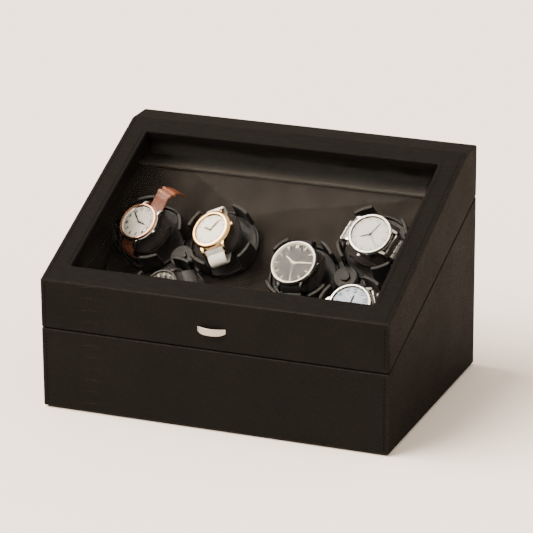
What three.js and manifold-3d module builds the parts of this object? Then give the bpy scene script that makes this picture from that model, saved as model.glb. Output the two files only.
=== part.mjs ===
// Watch winder box: a sloped display case with a hinged window lid and two motor-driven three-cup turntables.
// Millimetres, +Z up, +X to the right, +Y to the back.
// The origin is the middle of the box's footprint, on its base.
import * as THREE from "three";
import { ConvexGeometry } from "three/addons/geometries/ConvexGeometry.js";
import { mergeVertices } from "three/addons/utils/BufferGeometryUtils.js";
import Module from "manifold-3d";

// ---- Driving dimensions ----
// Case
const WIDTH = 340;
const DEPTH = 245;
const HEIGHT = 220.5;
const FRONT_HEIGHT = 126.1; // where the slope starts, at the front edge
const TOP_DEPTH = 29.7; // the level strip behind the slope
const SPLIT_FRONT = 78.7; // the parting line between base and lid, at the front
const SPLIT_BACK = 170.5; // and at the back
const SPLIT_GAP = 0.4;
const WALL = 10;
const FELT = 1.5; // the felt under the base
const FELT_INSET = 3;
const FLOOR = 8;

// Window
const FRAME_THICKNESS = 12.5;
const WINDOW_SIDE = 22.8; // margins of the window in the slope
const WINDOW_TOP = 18.8;
const WINDOW_BOTTOM = 23;
const GLASS_DEPTH = 9.8; // how far the glass lies below the slope
const REBATE_DEPTH = 9.5;
const REBATE = 6; // how far the rebate reaches under the frame
const GLASS_LAP = 3.7;
const SEAL_WIDTH = 1.7;

// Pull and hinges: the pull stands as far out at the front as the hinges do at the back
const PULL_WIDTH = 28;
const PULL_HEIGHT = 7;
const PULL_OUT = 5.2;
const PULL_STRIP = 1.4;
const PULL_Z = 98;
const HINGE_X = 95;
const HINGE_LENGTH = 40;
const HINGE_LEAF = 1.2;
const HINGE_LEAF_HEIGHT = 21;
const KNUCKLE_RADIUS = 2.5;
const HINGE_OUT = PULL_OUT - KNUCKLE_RADIUS; // from the back face to the hinge axis
const HINGE_PIN = 1.2;
const HINGE_BORE = 1.3;
const KNUCKLE_SPLIT = 8; // half-length of the middle knuckle's slot

// Deck and turntables
const DECK_TILT = 44;
const DECK_Y = 12.84; // middle of the deck's upper face
const DECK_Z = 108.42;
const DECK_DOWN = 95;
const DECK_UP = 98;
const DECK_THICKNESS = 6;
const LEDGE_FRONT = 80;
const LEDGE_THICKNESS = 3;
const ROTOR_X = 82;
const CUP_CIRCLE = 41.5;
const CUP_RADIUS = 34.2;
const CUP_RIM = 2.7;
const CUP_BASE = 2; // turntable's underside above the deck
const CUP_FLOOR = 6;
const CUP_RIM_TOP = 9;
const CLAW_INNER = 30.5;
const CLAW_OUTER = 34.5;
const CLAW_TOP = 28;
const CLAW_SPAN = 37;
const HUB_RADIUS = 12;

// Drive
const SPINDLE_RADIUS = 4;
const SPINDLE_TOP = 10;
const GEAR_MODULE = 1.25;
const GEAR_TEETH = 36;
const PINION_TEETH = 12;
const GEAR_BACKOFF = 0.1; // added to the gears' centre distance
const GEAR_TOP = -12; // heights from the deck's upper face
const GEAR_BOTTOM = -18;
const HOUSING_BOTTOM = -24;
const HOUSING_FLOOR = 3;
const HOUSING_WALL = 2;
const MOTOR_RADIUS = 12;
const MOTOR_LENGTH = 27;
const MOTOR_SHAFT = 1.5;

// Controls on the back
const PLATE_HALF_WIDTH = 62;
const PLATE_HALF_HEIGHT = 19;
const PLATE_THICKNESS = 1.4;
const CONTROL_Z = 48;
const KNOB_X = [-42, -14];
const KNOB_RADIUS = 9;
const KNOB_STEM = 2.9;
const SWITCH_X = 16;
const JACK_X = 42;
const ROCK = 8; // the rocker's lean at rest, in degrees
const CLEARANCE = 0.3;

// Places in the cups. Angles are counter-clockwise in the deck's plane: cup is the place on the turntable,
// twelve the way the watch's twelve o'clock points, lean how far the cushion leans to the left.
const PLACES = [
  { id: 1, side: "left", cup: 153, twelve: 62.8, lean: 12, radius: 20, top: 36, strap: "flared", band: 18 },
  { id: 2, side: "left", cup: 30, twelve: 110.5, lean: 14, radius: 20.3, top: 34, strap: "loop", band: 18 },
  { id: 3, side: "right", cup: 184, twelve: 92.8, lean: 6, radius: 22.9, top: 36, strap: "loop", band: 19 },
  {
    id: 4,
    side: "right",
    cup: 61,
    twelve: 344.5,
    lean: 0,
    radius: 21.4,
    top: 36,
    strap: "loop",
    band: 20,
    sides: 8,
  },
  { id: 5, side: "right", cup: 298, twelve: 23.3, lean: 0, radius: 21.5, top: 36, strap: "loop", band: 20 },
  { id: 6, side: "left", cup: 271, twelve: 35, lean: 6, radius: 17, top: 34, strap: "loop", band: 17 },
];
const LEAN_LIFT = 0.25; // lift of a leaning cushion for each degree, which keeps it clear of the cup
const CASE_THICKNESS = 8; // of a watch, crystal included
const CUSHION_HALF_LENGTH = 24.6; // across the strap
const CUSHION_HALF_WIDTH = 22.5; // along the strap
const CUSHION_HALF_HEIGHT = 8.2;
const CUSHION_Z = 17.2;
const LOOP_HALF_WIDTH = 31;
const LOOP_HALF_HEIGHT = 10.2;
const STRAP_THICKNESS = 1.8;

// ---- Worked out from them ----
const rad = THREE.MathUtils.degToRad;
const HALF_WIDTH = WIDTH / 2;
const HALF_DEPTH = DEPTH / 2;
const SLOPE_RUN = DEPTH - TOP_DEPTH;
const SLOPE_RISE = HEIGHT - FRONT_HEIGHT;
const SLOPE_LENGTH = Math.hypot(SLOPE_RUN, SLOPE_RISE);
const SLOPE_TILT = Math.atan2(SLOPE_RISE, SLOPE_RUN);
const SPLIT_RATE = (SPLIT_BACK - SPLIT_FRONT) / DEPTH;
const HINGE_Y = HALF_DEPTH + HINGE_OUT;
const GEAR_CENTRES = (GEAR_MODULE * (GEAR_TEETH + PINION_TEETH)) / 2 + GEAR_BACKOFF;
const splitZ = (y) => SPLIT_FRONT + (y + HALF_DEPTH) * SPLIT_RATE;

// ---- Finishes ----
const finish = (color, roughness, metalness = 0, extra = {}) =>
  new THREE.MeshStandardMaterial({ color, roughness, metalness, ...extra });
const LEATHER = finish(0x25211e, 0.55);
const SUEDE = finish(0x2b2623, 0.95);
const FELT_CLOTH = finish(0x1a1817, 1);
const GLASS = finish(0xdfe3e4, 0.05, 0, { transparent: true, opacity: 0.2 });
const RUBBER = finish(0x141414, 0.8);
const STEEL = finish(0xc9c7c3, 0.28, 1);
const BRASS = finish(0xb59a5c, 0.35, 1);
const GLOSS_BLACK = finish(0x151413, 0.2);
const BLACK_PLASTIC = finish(0x1c1b1a, 0.5);
const WHITE_NYLON = finish(0xe6e2d8, 0.5);
const BOARD_GREEN = finish(0x1f4a33, 0.6);
const CUSHION_CLOTH = finish(0x1d1a19, 0.8);
const STRAP_FINISH = {
  1: finish(0x9a5f3c, 0.6),
  2: finish(0xe4e0d8, 0.6),
  3: finish(0x17171a, 0.6),
  4: STEEL,
  5: STEEL,
  6: finish(0x17171a, 0.6),
};
const CASE_FINISH = { 1: STEEL, 2: finish(0xd9b98a, 0.25, 1), 3: STEEL, 4: STEEL, 5: STEEL, 6: STEEL };

// ---- Joining and cutting ----
const wasm = await Module();
wasm.setup();

function solidOf(geometry) {
  const bare = geometry.clone();
  bare.deleteAttribute("normal");
  bare.deleteAttribute("uv");
  const merged = mergeVertices(bare, 1e-4);
  return new wasm.Manifold(
    new wasm.Mesh({
      numProp: 3,
      vertProperties: merged.attributes.position.array,
      triVerts: new Uint32Array(merged.index.array),
    }),
  );
}

function geometryOf(solid) {
  const mesh = solid.getMesh();
  const geometry = new THREE.BufferGeometry();
  geometry.setAttribute("position", new THREE.BufferAttribute(mesh.vertProperties, 3));
  geometry.setIndex(new THREE.BufferAttribute(mesh.triVerts, 1));
  geometry.computeVertexNormals();
  return geometry;
}

const join = (...pieces) => geometryOf(pieces.map(solidOf).reduce((all, piece) => all.add(piece)));
const cut = (body, ...tools) =>
  geometryOf(tools.map(solidOf).reduce((rest, tool) => rest.subtract(tool), solidOf(body)));

// ---- Shapes ----
function box(x0, x1, y0, y1, z0, z1) {
  const block = new THREE.BoxGeometry(x1 - x0, y1 - y0, z1 - z0);
  return block.translate((x0 + x1) / 2, (y0 + y1) / 2, (z0 + z1) / 2);
}

// A round bar along Z.
function rod(radius, z0, z1, sides = 24, x = 0, y = 0) {
  return new THREE.CylinderGeometry(radius, radius, z1 - z0, sides)
    .rotateX(Math.PI / 2)
    .translate(x, y, (z0 + z1) / 2);
}

// A solid of revolution about Z from [radius, height] points, which start and end on the axis going up.
function turned(profile, sides = 24) {
  const points = profile.map(([radius, height]) => new THREE.Vector2(radius, height));
  return new THREE.LatheGeometry(points, sides).rotateX(Math.PI / 2);
}

// A flat outline in X and Y, thickened from z0 to z1.
function plate(outline, z0, z1, curveSegments = 6) {
  const options = { depth: z1 - z0, bevelEnabled: false, curveSegments };
  return new THREE.ExtrudeGeometry(outline, options).translate(0, 0, z0);
}

// A profile in Y and Z, drawn out along X.
function drawnAlongX(profile, x0, x1) {
  const shape = new THREE.Shape(profile.map(([y, z]) => new THREE.Vector2(y, z)));
  return new THREE.ExtrudeGeometry(shape, { depth: x1 - x0, bevelEnabled: false })
    .rotateX(Math.PI / 2)
    .rotateZ(Math.PI / 2)
    .translate(x0, 0, 0);
}

// Turns a shape made along Z so that it runs along +Y, out of the back of the case.
const facingBack = (geometry) => geometry.rotateX(-Math.PI / 2);

const root = new THREE.Group();

function add(parent, name, geometry, material) {
  const mesh = new THREE.Mesh(geometry, material);
  mesh.name = name;
  parent.add(mesh);
  return mesh;
}

function frameAt(parent, y, z, tilt) {
  const group = new THREE.Group();
  group.position.set(0, y, z);
  group.rotation.x = tilt;
  parent.add(group);
  return group;
}

// ---- Case shell: panels mitred at every corner ----
// A panel between its outer face and the smaller inner face behind it.
const mitred = (outer, inner) => new ConvexGeometry([...outer, ...inner].map((p) => new THREE.Vector3(...p)));

// The two side edges of a panel that runs across the case, from its profile points in Y and Z.
const across = (halfWidth, ...points) => points.flatMap(([y, z]) => [[-halfWidth, y, z], [halfWidth, y, z]]);

const INNER_WIDTH = HALF_WIDTH - WALL;
const INNER_DEPTH = HALF_DEPTH - WALL;

function buildBase() {
  const rimZ = (y) => splitZ(y) - SPLIT_GAP / 2;
  for (const [name, side] of [["front", -1], ["back", 1]]) {
    const outer = [[side * HALF_DEPTH, FELT], [side * HALF_DEPTH, rimZ(side * HALF_DEPTH)]];
    const inner = [[side * INNER_DEPTH, FELT], [side * INNER_DEPTH, rimZ(side * INNER_DEPTH)]];
    const blank = mitred(across(HALF_WIDTH, ...outer), across(INNER_WIDTH, ...inner));
    const panel = side > 0 ? cut(blank, ...controlHoles()) : blank;
    add(root, `base_${name}_panel`, panel, LEATHER);
  }
  for (const [name, side] of [["left", -1], ["right", 1]]) {
    const edge = (x, y) => [[x, -y, FELT], [x, y, FELT], [x, -y, rimZ(-y)], [x, y, rimZ(y)]];
    const panel = mitred(edge(side * HALF_WIDTH, HALF_DEPTH), edge(side * INNER_WIDTH, INNER_DEPTH));
    add(root, `base_${name}_panel`, panel, LEATHER);
  }
  const floor = box(-INNER_WIDTH, INNER_WIDTH, -INNER_DEPTH, INNER_DEPTH, FELT, FELT + FLOOR);
  add(root, "base_floor_panel", floor, BLACK_PLASTIC);
  const feltX = HALF_WIDTH - FELT_INSET;
  const feltY = HALF_DEPTH - FELT_INSET;
  add(root, "base_felt", box(-feltX, feltX, -feltY, feltY, 0, FELT), FELT_CLOTH);
}

function lidProfiles() {
  const foot = (y) => [y, splitZ(y) + SPLIT_GAP / 2];
  const outer = [
    foot(-HALF_DEPTH),
    [-HALF_DEPTH, FRONT_HEIGHT],
    [HALF_DEPTH - TOP_DEPTH, HEIGHT],
    [HALF_DEPTH, HEIGHT],
    foot(HALF_DEPTH),
  ];
  // The slope's underside, as a height for each y.
  const underSlope = (y) =>
    FRONT_HEIGHT + (y + HALF_DEPTH) * Math.tan(SLOPE_TILT) - FRAME_THICKNESS / Math.cos(SLOPE_TILT);
  const topInside = HEIGHT - WALL;
  const slopeEnd = (topInside - underSlope(0)) / Math.tan(SLOPE_TILT);
  const inner = [
    foot(-INNER_DEPTH),
    [-INNER_DEPTH, underSlope(-INNER_DEPTH)],
    [slopeEnd, topInside],
    [INNER_DEPTH, topInside],
    foot(INNER_DEPTH),
  ];
  return { outer, inner };
}

function buildLid() {
  const { outer, inner } = lidProfiles();
  const strip = (from) =>
    mitred(
      across(HALF_WIDTH, outer[from], outer[from + 1]),
      across(INNER_WIDTH, inner[from], inner[from + 1]),
    );
  add(root, "lid_front_panel", strip(0), LEATHER);
  add(root, "lid_top_panel", strip(2), LEATHER);
  add(root, "lid_back_panel", strip(3), LEATHER);
  for (const [name, side] of [["left", -1], ["right", 1]]) {
    const face = (x, profile) => profile.map(([y, z]) => [x, y, z]);
    const panel = mitred(face(side * HALF_WIDTH, outer), face(side * INNER_WIDTH, inner));
    add(root, `lid_${name}_panel`, panel, LEATHER);
  }

  const slope = frameAt(root, -HALF_DEPTH, FRONT_HEIGHT, SLOPE_TILT);
  slope.updateMatrixWorld(true);
  const intoSlope = slope.matrixWorld.clone().invert();
  const [x, low, high] = [HALF_WIDTH - WINDOW_SIDE, WINDOW_BOTTOM, SLOPE_LENGTH - WINDOW_TOP];
  const ring = (grow, z0, z1) => box(-x - grow, x + grow, low - grow, high + grow, z0, z1);
  const opening = ring(0, -FRAME_THICKNESS - 1, 1);
  const rebate = ring(REBATE, -FRAME_THICKNESS - 1, -REBATE_DEPTH);
  add(slope, "window_frame", cut(strip(1).applyMatrix4(intoSlope), opening, rebate), LEATHER);
  add(slope, "glass_pane", ring(GLASS_LAP, -FRAME_THICKNESS, -GLASS_DEPTH), GLASS);
  const sealInner = GLASS_LAP + CLEARANCE;
  const seal = cut(
    ring(sealInner + SEAL_WIDTH, -FRAME_THICKNESS, -GLASS_DEPTH),
    ring(sealInner, -FRAME_THICKNESS - 1, 0),
  );
  add(slope, "glazing_seal", seal, RUBBER);
}

// A bowed strip whose two ends meet the front of the lid.
function buildPull() {
  const half = PULL_WIDTH / 2;
  const outerRadius = (half ** 2 + PULL_OUT ** 2) / (2 * PULL_OUT);
  const centre = outerRadius - PULL_OUT; // inside the panel, behind its face
  const innerRadius = outerRadius - PULL_STRIP;
  const outerAngle = Math.acos(centre / outerRadius);
  const innerAngle = Math.acos(centre / innerRadius);
  const bow = new THREE.Shape();
  bow.absarc(0, 0, outerRadius, -Math.PI / 2 - outerAngle, -Math.PI / 2 + outerAngle, false);
  bow.absarc(0, 0, innerRadius, -Math.PI / 2 + innerAngle, -Math.PI / 2 - innerAngle, true);
  const strip = plate(bow, PULL_Z - PULL_HEIGHT / 2, PULL_Z + PULL_HEIGHT / 2, 14);
  add(root, "pull_tab", strip.translate(0, -HALF_DEPTH + centre, 0), STEEL);
}

// ---- Hinges: three knuckles on one pin ----
function buildHinges() {
  const half = HINGE_LENGTH / 2;
  const clear = KNUCKLE_RADIUS + 0.7; // where the leaf's plate starts, clear of the other leaf's knuckles
  const knuckle = (radius, x0, x1) =>
    rod(radius, x0, x1, 16).rotateY(Math.PI / 2).translate(0, HINGE_Y, SPLIT_BACK);
  const bore = () => knuckle(HINGE_BORE, -half - 1, half + 1);
  const leaf = (side, spans) => {
    const near = SPLIT_BACK + side * clear;
    const far = SPLIT_BACK + side * HINGE_LEAF_HEIGHT;
    const back = HALF_DEPTH + HINGE_LEAF;
    const sheet = box(-half, half, HALF_DEPTH, back, Math.min(near, far), Math.max(near, far));
    const tongues = spans.map(([x0, x1]) => {
      const root0 = SPLIT_BACK + side * 0.5;
      const root1 = near + side * 0.5;
      return box(x0, x1, HALF_DEPTH, back, Math.min(root0, root1), Math.max(root0, root1));
    });
    const knuckles = spans.map(([x0, x1]) => knuckle(KNUCKLE_RADIUS, x0, x1));
    return cut(join(sheet, ...tongues, ...knuckles), bore());
  };
  const ends = [[-half, -KNUCKLE_SPLIT], [KNUCKLE_SPLIT, half]];
  const middle = [[CLEARANCE - KNUCKLE_SPLIT, KNUCKLE_SPLIT - CLEARANCE]];
  for (const [name, x] of [["left", -HINGE_X], ["right", HINGE_X]]) {
    add(root, `hinge_${name}_base_leaf`, leaf(-1, ends).translate(x, 0, 0), STEEL);
    add(root, `hinge_${name}_lid_leaf`, leaf(1, middle).translate(x, 0, 0), STEEL);
    add(root, `hinge_${name}_pin`, knuckle(HINGE_PIN, -half, half).translate(x, 0, 0), STEEL);
  }
}

// ---- Inner deck ----
function buildDeck(deck) {
  const spindleHoles = [-ROTOR_X, ROTOR_X].map((x) =>
    rod(SPINDLE_RADIUS + 0.25, -DECK_THICKNESS - 1, 1, 24, x),
  );
  const board = box(-INNER_WIDTH, INNER_WIDTH, -DECK_DOWN, DECK_UP, -DECK_THICKNESS, 0);
  add(deck, "deck_panel", cut(board, ...spindleHoles), SUEDE);

  const tilt = rad(DECK_TILT);
  const lowEdge = [DECK_Y - DECK_DOWN * Math.cos(tilt), DECK_Z - DECK_DOWN * Math.sin(tilt)];
  const shelfBack = lowEdge[0] - CLEARANCE;
  const shelf = box(-INNER_WIDTH, INNER_WIDTH, -INNER_DEPTH, shelfBack, lowEdge[1] - 4, lowEdge[1]);
  add(root, "deck_front_shelf", shelf, SUEDE);

  const ledgeUnder = DECK_Z + DECK_UP * Math.sin(tilt) + CLEARANCE;
  const ledgeTop = ledgeUnder + LEDGE_THICKNESS;
  const leg = INNER_DEPTH - 4;
  const lidClear = INNER_DEPTH - 1;
  const ledge = [
    [LEDGE_FRONT, ledgeUnder],
    [leg, ledgeUnder],
    [leg, SPLIT_BACK - 22],
    [INNER_DEPTH, SPLIT_BACK - 22],
    [INNER_DEPTH, SPLIT_BACK - 6],
    [lidClear, SPLIT_BACK - 5],
    [lidClear, ledgeTop],
    [LEDGE_FRONT, ledgeTop],
  ];
  add(root, "deck_ledge", drawnAlongX(ledge, -INNER_WIDTH + 1, INNER_WIDTH - 1), SUEDE);
}

// ---- Turntables ----
// A block that follows part of a ring.
function ringSector(inner, outer, middle, span, z0, z1) {
  const [from, to] = [rad(middle - span / 2), rad(middle + span / 2)];
  const shape = new THREE.Shape();
  shape.absarc(0, 0, outer, from, to, false);
  shape.absarc(0, 0, inner, to, from, true);
  return plate(shape, z0, z1, 4);
}

function buildTurntable(rotor, side) {
  const dish = () =>
    turned([
      [0, CUP_BASE],
      [CUP_RADIUS, CUP_BASE],
      [CUP_RADIUS, CUP_RIM_TOP],
      [CUP_RADIUS - CUP_RIM, CUP_RIM_TOP],
      [CUP_RADIUS - CUP_RIM, CUP_FLOOR],
      [0, CUP_FLOOR],
    ]);
  const cups = PLACES.filter((place) => place.side === side).flatMap((place) => {
    const claws = [45, 135, 225, 315].map((turn) =>
      ringSector(CLAW_INNER, CLAW_OUTER, place.twelve + turn, CLAW_SPAN, CUP_FLOOR - 1, CLAW_TOP),
    );
    const [x, y] = cupCentre(place);
    return [dish(), ...claws].map((piece) => piece.translate(x, y, 0));
  });
  const hub = rod(HUB_RADIUS, CUP_BASE, SPINDLE_TOP + 3);
  const web = rod(CUP_CIRCLE / 2, CUP_BASE, CUP_FLOOR);
  const socket = rod(SPINDLE_RADIUS + CLEARANCE, CUP_BASE - 1, SPINDLE_TOP + CLEARANCE);
  add(rotor, `turntable_${side}`, cut(join(hub, web, ...cups), socket), GLOSS_BLACK);
}

const cupCentre = ({ cup }) => [CUP_CIRCLE * Math.cos(rad(cup)), CUP_CIRCLE * Math.sin(rad(cup))];

// ---- Drives under the deck ----
// Straight-sided gear teeth: fractions of the tooth pitch at the tip and at the root.
function gearOutline(teeth, firstTooth) {
  const pitchRadius = (GEAR_MODULE * teeth) / 2;
  const [tip, rootRadius] = [pitchRadius + 0.85 * GEAR_MODULE, pitchRadius - 1.2 * GEAR_MODULE];
  const pitch = (2 * Math.PI) / teeth;
  const corners = [[rootRadius, -0.32], [tip, -0.11], [tip, 0.11], [rootRadius, 0.32]];
  const outline = [];
  for (let tooth = 0; tooth < teeth; tooth += 1) {
    for (const [radius, share] of corners) {
      const angle = firstTooth + (tooth + share) * pitch;
      outline.push(new THREE.Vector2(radius * Math.cos(angle), radius * Math.sin(angle)));
    }
  }
  return new THREE.Shape(outline);
}

function buildDrive(rotor, side) {
  const inward = side === "left" ? 0 : Math.PI; // the motor sits towards the middle of the case
  const motorX = GEAR_CENTRES * Math.cos(inward);

  const collar = 8;
  const spindle = turned([
    [0, HOUSING_BOTTOM],
    [SPINDLE_RADIUS, HOUSING_BOTTOM],
    [SPINDLE_RADIUS, 0.4],
    [collar, 0.4],
    [collar, CUP_BASE - CLEARANCE],
    [SPINDLE_RADIUS, CUP_BASE - CLEARANCE],
    [SPINDLE_RADIUS, SPINDLE_TOP],
    [0, SPINDLE_TOP],
  ], 24);
  add(rotor, `spindle_${side}`, spindle, STEEL);

  const gearBore = rod(SPINDLE_RADIUS + CLEARANCE, GEAR_BOTTOM - 1, GEAR_TOP + 1);
  const gear = plate(gearOutline(GEAR_TEETH, inward + Math.PI / GEAR_TEETH), GEAR_BOTTOM, GEAR_TOP);
  add(rotor, `drive_gear_${side}`, cut(gear, gearBore), WHITE_NYLON);

  const teeth = plate(gearOutline(PINION_TEETH, inward + Math.PI), GEAR_BOTTOM - 1, GEAR_TOP + 1);
  const shaft = rod(MOTOR_SHAFT, HOUSING_BOTTOM - 6, GEAR_BOTTOM, 16);
  add(rotor, `motor_pinion_${side}`, join(teeth, shaft).translate(motorX, 0, 0), BRASS);

  const motor = cut(
    rod(MOTOR_RADIUS, HOUSING_BOTTOM - CLEARANCE - MOTOR_LENGTH, HOUSING_BOTTOM - CLEARANCE, 28),
    rod(MOTOR_SHAFT + 0.1, HOUSING_BOTTOM - 8, HOUSING_BOTTOM + 1, 16),
  );
  add(rotor, `motor_${side}`, motor.translate(motorX, 0, 0), STEEL);

  const reach = (GEAR_MODULE * GEAR_TEETH) / 2 + 3;
  const motorReach = GEAR_CENTRES + 14;
  const [x0, x1] = side === "left" ? [-reach, motorReach] : [-motorReach, reach];
  const underDeck = -DECK_THICKNESS - CLEARANCE;
  const wallReach = reach + HOUSING_WALL;
  const housing = cut(
    box(x0 - HOUSING_WALL, x1 + HOUSING_WALL, -wallReach, wallReach, HOUSING_BOTTOM, underDeck),
    box(x0, x1, -reach, reach, HOUSING_BOTTOM + HOUSING_FLOOR, 0),
    rod(SPINDLE_RADIUS + 0.25, HOUSING_BOTTOM - 1, 0),
    rod(MOTOR_SHAFT + 0.5, HOUSING_BOTTOM - 1, 0, 16, motorX),
  );
  add(rotor, `gearbox_housing_${side}`, housing, BLACK_PLASTIC);
}

// ---- Cushions and watches ----
// A flat band of even thickness along a path in Y and Z, drawn out along X.
function band(path, thickness, width) {
  const sides = [1, -1].map((sign) =>
    path.map((point, i) => {
      const before = path[Math.max(i - 1, 0)];
      const after = path[Math.min(i + 1, path.length - 1)];
      const along = new THREE.Vector2().subVectors(after, before).normalize();
      const offset = new THREE.Vector2(-along.y, along.x).multiplyScalar((sign * thickness) / 2);
      const moved = point.clone().add(offset);
      return [moved.x, moved.y];
    }),
  );
  return drawnAlongX([...sides[0], ...sides[1].reverse()], -width / 2, width / 2);
}

// The strap runs from one lug down round the cushion and up to the other lug.
function loopPath(caseRadius) {
  const open = Math.acos(Math.min(1, (caseRadius + 2.6) / LOOP_HALF_WIDTH));
  const steps = 18;
  return Array.from({ length: steps + 1 }, (_, i) => {
    const angle = open - ((Math.PI + 2 * open) * i) / steps;
    return new THREE.Vector2(
      LOOP_HALF_WIDTH * Math.cos(angle),
      CUSHION_Z + LOOP_HALF_HEIGHT * Math.sin(angle),
    );
  });
}

// An unbuckled strap: it hugs the cushion on one side, passes under the watch and arches out over the cup.
function flaredPath(caseBottom) {
  const under = caseBottom - CLEARANCE - STRAP_THICKNESS / 2;
  const hugging = [[-27, 13], [-28.2, 18], [-24, 23.4]];
  const flat = [[-14, under], [0, under], [17, under]];
  const arching = [[25.5, 27.8], [33.5, 30.4], [41, 27.5], [46, 20], [47.5, 12.5]];
  const points = [...hugging, ...flat, ...arching].map(([y, z]) => new THREE.Vector2(y, z));
  return new THREE.SplineCurve(points).getPoints(22);
}

function buildWatch(place, seat) {
  const { id, radius, top, strap, band: width, sides = 28 } = place;
  const bottom = top - CASE_THICKNESS;
  const shoulder = radius * 0.9;
  const body = turned([
    [0, bottom],
    [shoulder, bottom],
    [radius, bottom + 2],
    [radius, top - 2.4],
    [radius - 2, top - 0.8],
    [radius - 2.6, top],
    [0, top],
  ], sides);
  if (sides === 8) body.rotateZ(Math.PI / 8);
  const lugWidth = 2.2;
  const lugX = width / 2 + 0.4;
  const lugs = [-1, 1].flatMap((end) =>
    [-lugX - lugWidth, lugX].map((x) => {
      const [near, far] = [radius * 0.6, radius + 3.4].map((y) => y * end);
      const outline = [[near, bottom + 0.6], [far, bottom - 2.6], [far, bottom - 0.4], [near, bottom + 4.2]];
      return drawnAlongX(end > 0 ? outline : outline.reverse(), x, x + lugWidth);
    }),
  );
  const crown = rod(1.9, radius * 0.85, radius + 2.6, 12).rotateY(Math.PI / 2).translate(0, 0, bottom + 3.6);
  add(seat, `watch_${id}_case`, join(body, crown, ...lugs), CASE_FINISH[id]);

  const path = strap === "loop" ? loopPath(radius) : flaredPath(bottom);
  add(seat, `watch_${id}_strap`, band(path, STRAP_THICKNESS, width), STRAP_FINISH[id]);
}

function buildCushion(place, seat) {
  const rings = 8;
  const profile = Array.from({ length: rings + 1 }, (_, i) => {
    const angle = -Math.PI / 2 + (Math.PI * i) / rings;
    const girth = i % rings === 0 ? 0 : Math.abs(Math.cos(angle)) ** 0.55;
    return [girth, CUSHION_HALF_LENGTH * Math.sin(angle)];
  });
  const barrel = turned(profile, 14)
    .rotateY(Math.PI / 2)
    .scale(1, CUSHION_HALF_WIDTH, CUSHION_HALF_HEIGHT)
    .translate(0, 0, CUSHION_Z);
  add(seat, `cushion_${place.id}`, barrel, CUSHION_CLOTH);
}

// The seat's +Y is the watch's twelve o'clock; the lean is about an axis through the cup's floor.
function seatOf(place, rotor) {
  const lean = new THREE.Group();
  const [x, y] = cupCentre(place);
  lean.position.set(x, y, CUP_FLOOR + LEAN_LIFT * place.lean);
  lean.rotation.y = -rad(place.lean);
  rotor.add(lean);
  const seat = new THREE.Group();
  seat.position.z = -CUP_FLOOR;
  seat.rotation.z = rad(place.twelve - 90);
  lean.add(seat);
  return seat;
}

function buildRotors(deck) {
  for (const [side, x] of [["left", -ROTOR_X], ["right", ROTOR_X]]) {
    const rotor = new THREE.Group();
    rotor.position.x = x;
    deck.add(rotor);
    buildTurntable(rotor, side);
    buildDrive(rotor, side);
    for (const place of PLACES.filter((each) => each.side === side)) {
      const seat = seatOf(place, rotor);
      buildCushion(place, seat);
      buildWatch(place, seat);
    }
  }
}

// ---- Controls on the back ----
function controlHoles() {
  const through = (geometry, x) => facingBack(geometry).translate(x, 0, CONTROL_Z);
  const [from, to] = [INNER_DEPTH - 2, HALF_DEPTH + PLATE_THICKNESS + 2];
  return [
    ...KNOB_X.map((x) => through(rod(KNOB_STEM + CLEARANCE, from, to, 16), x)),
    through(rod(5.5 + CLEARANCE, from, to), JACK_X),
    box(SWITCH_X - 7.5, SWITCH_X + 7.5, from, to, CONTROL_Z - 8, CONTROL_Z + 8),
  ];
}

function buildControls() {
  const plateBack = HALF_DEPTH + PLATE_THICKNESS;
  const blank = box(
    -PLATE_HALF_WIDTH, PLATE_HALF_WIDTH, HALF_DEPTH, plateBack,
    CONTROL_Z - PLATE_HALF_HEIGHT, CONTROL_Z + PLATE_HALF_HEIGHT,
  );
  add(root, "control_plate", cut(blank, ...controlHoles()), BLACK_PLASTIC);

  const knobBack = HALF_DEPTH + PULL_OUT;
  for (const [i, name] of ["left", "right"].entries()) {
    const knob = turned([
      [0, INNER_DEPTH + 1],
      [KNOB_STEM, INNER_DEPTH + 1],
      [KNOB_STEM, plateBack + CLEARANCE],
      [KNOB_RADIUS, plateBack + CLEARANCE],
      [KNOB_RADIUS - 0.5, knobBack - 0.4],
      [KNOB_RADIUS - 1, knobBack],
      [0, knobBack],
    ], 24);
    add(root, `mode_knob_${name}`, facingBack(knob).translate(KNOB_X[i], 0, CONTROL_Z), BLACK_PLASTIC);
  }

  const jackPin = 1;
  const jackBore = 3;
  const jackEnd = INNER_DEPTH + 3;
  const jack = turned([
    [0, INNER_DEPTH],
    [5.5, INNER_DEPTH],
    [5.5, plateBack + 1],
    [jackBore, plateBack + 1],
    [jackBore, jackEnd],
    [jackPin, jackEnd],
    [jackPin, plateBack],
    [0, plateBack],
  ], 16);
  add(root, "dc_jack", facingBack(jack).translate(JACK_X, 0, CONTROL_Z), BLACK_PLASTIC);

  const pivot = HALF_DEPTH - 3;
  const rockerProfile = [[-4, -5], [5, -6.5], [6.6, -6.5], [5.6, 0], [6.6, 6.5], [5, 6.5], [-4, 5]];
  const rocker = drawnAlongX(rockerProfile, -7, 7)
    .rotateX(rad(ROCK))
    .translate(SWITCH_X, pivot, CONTROL_Z);
  add(root, "switch_rocker", rocker, BLACK_PLASTIC);

  const boardFront = INNER_DEPTH - 9;
  const board = box(-60, 60, boardFront, boardFront + 1.6, CONTROL_Z - 20, CONTROL_Z + 20);
  const posts = [-55, 55].flatMap((x) =>
    [-15, 15].map((z) =>
      facingBack(rod(3, boardFront + 0.8, INNER_DEPTH, 12)).translate(x, 0, CONTROL_Z + z),
    ),
  );
  add(root, "control_board", join(board, ...posts), BOARD_GREEN);
}

buildBase();
buildControls();
const deck = frameAt(root, DECK_Y, DECK_Z, rad(DECK_TILT));
buildDeck(deck);
buildRotors(deck);
buildLid();
buildPull();
buildHinges();

export default root;
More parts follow.
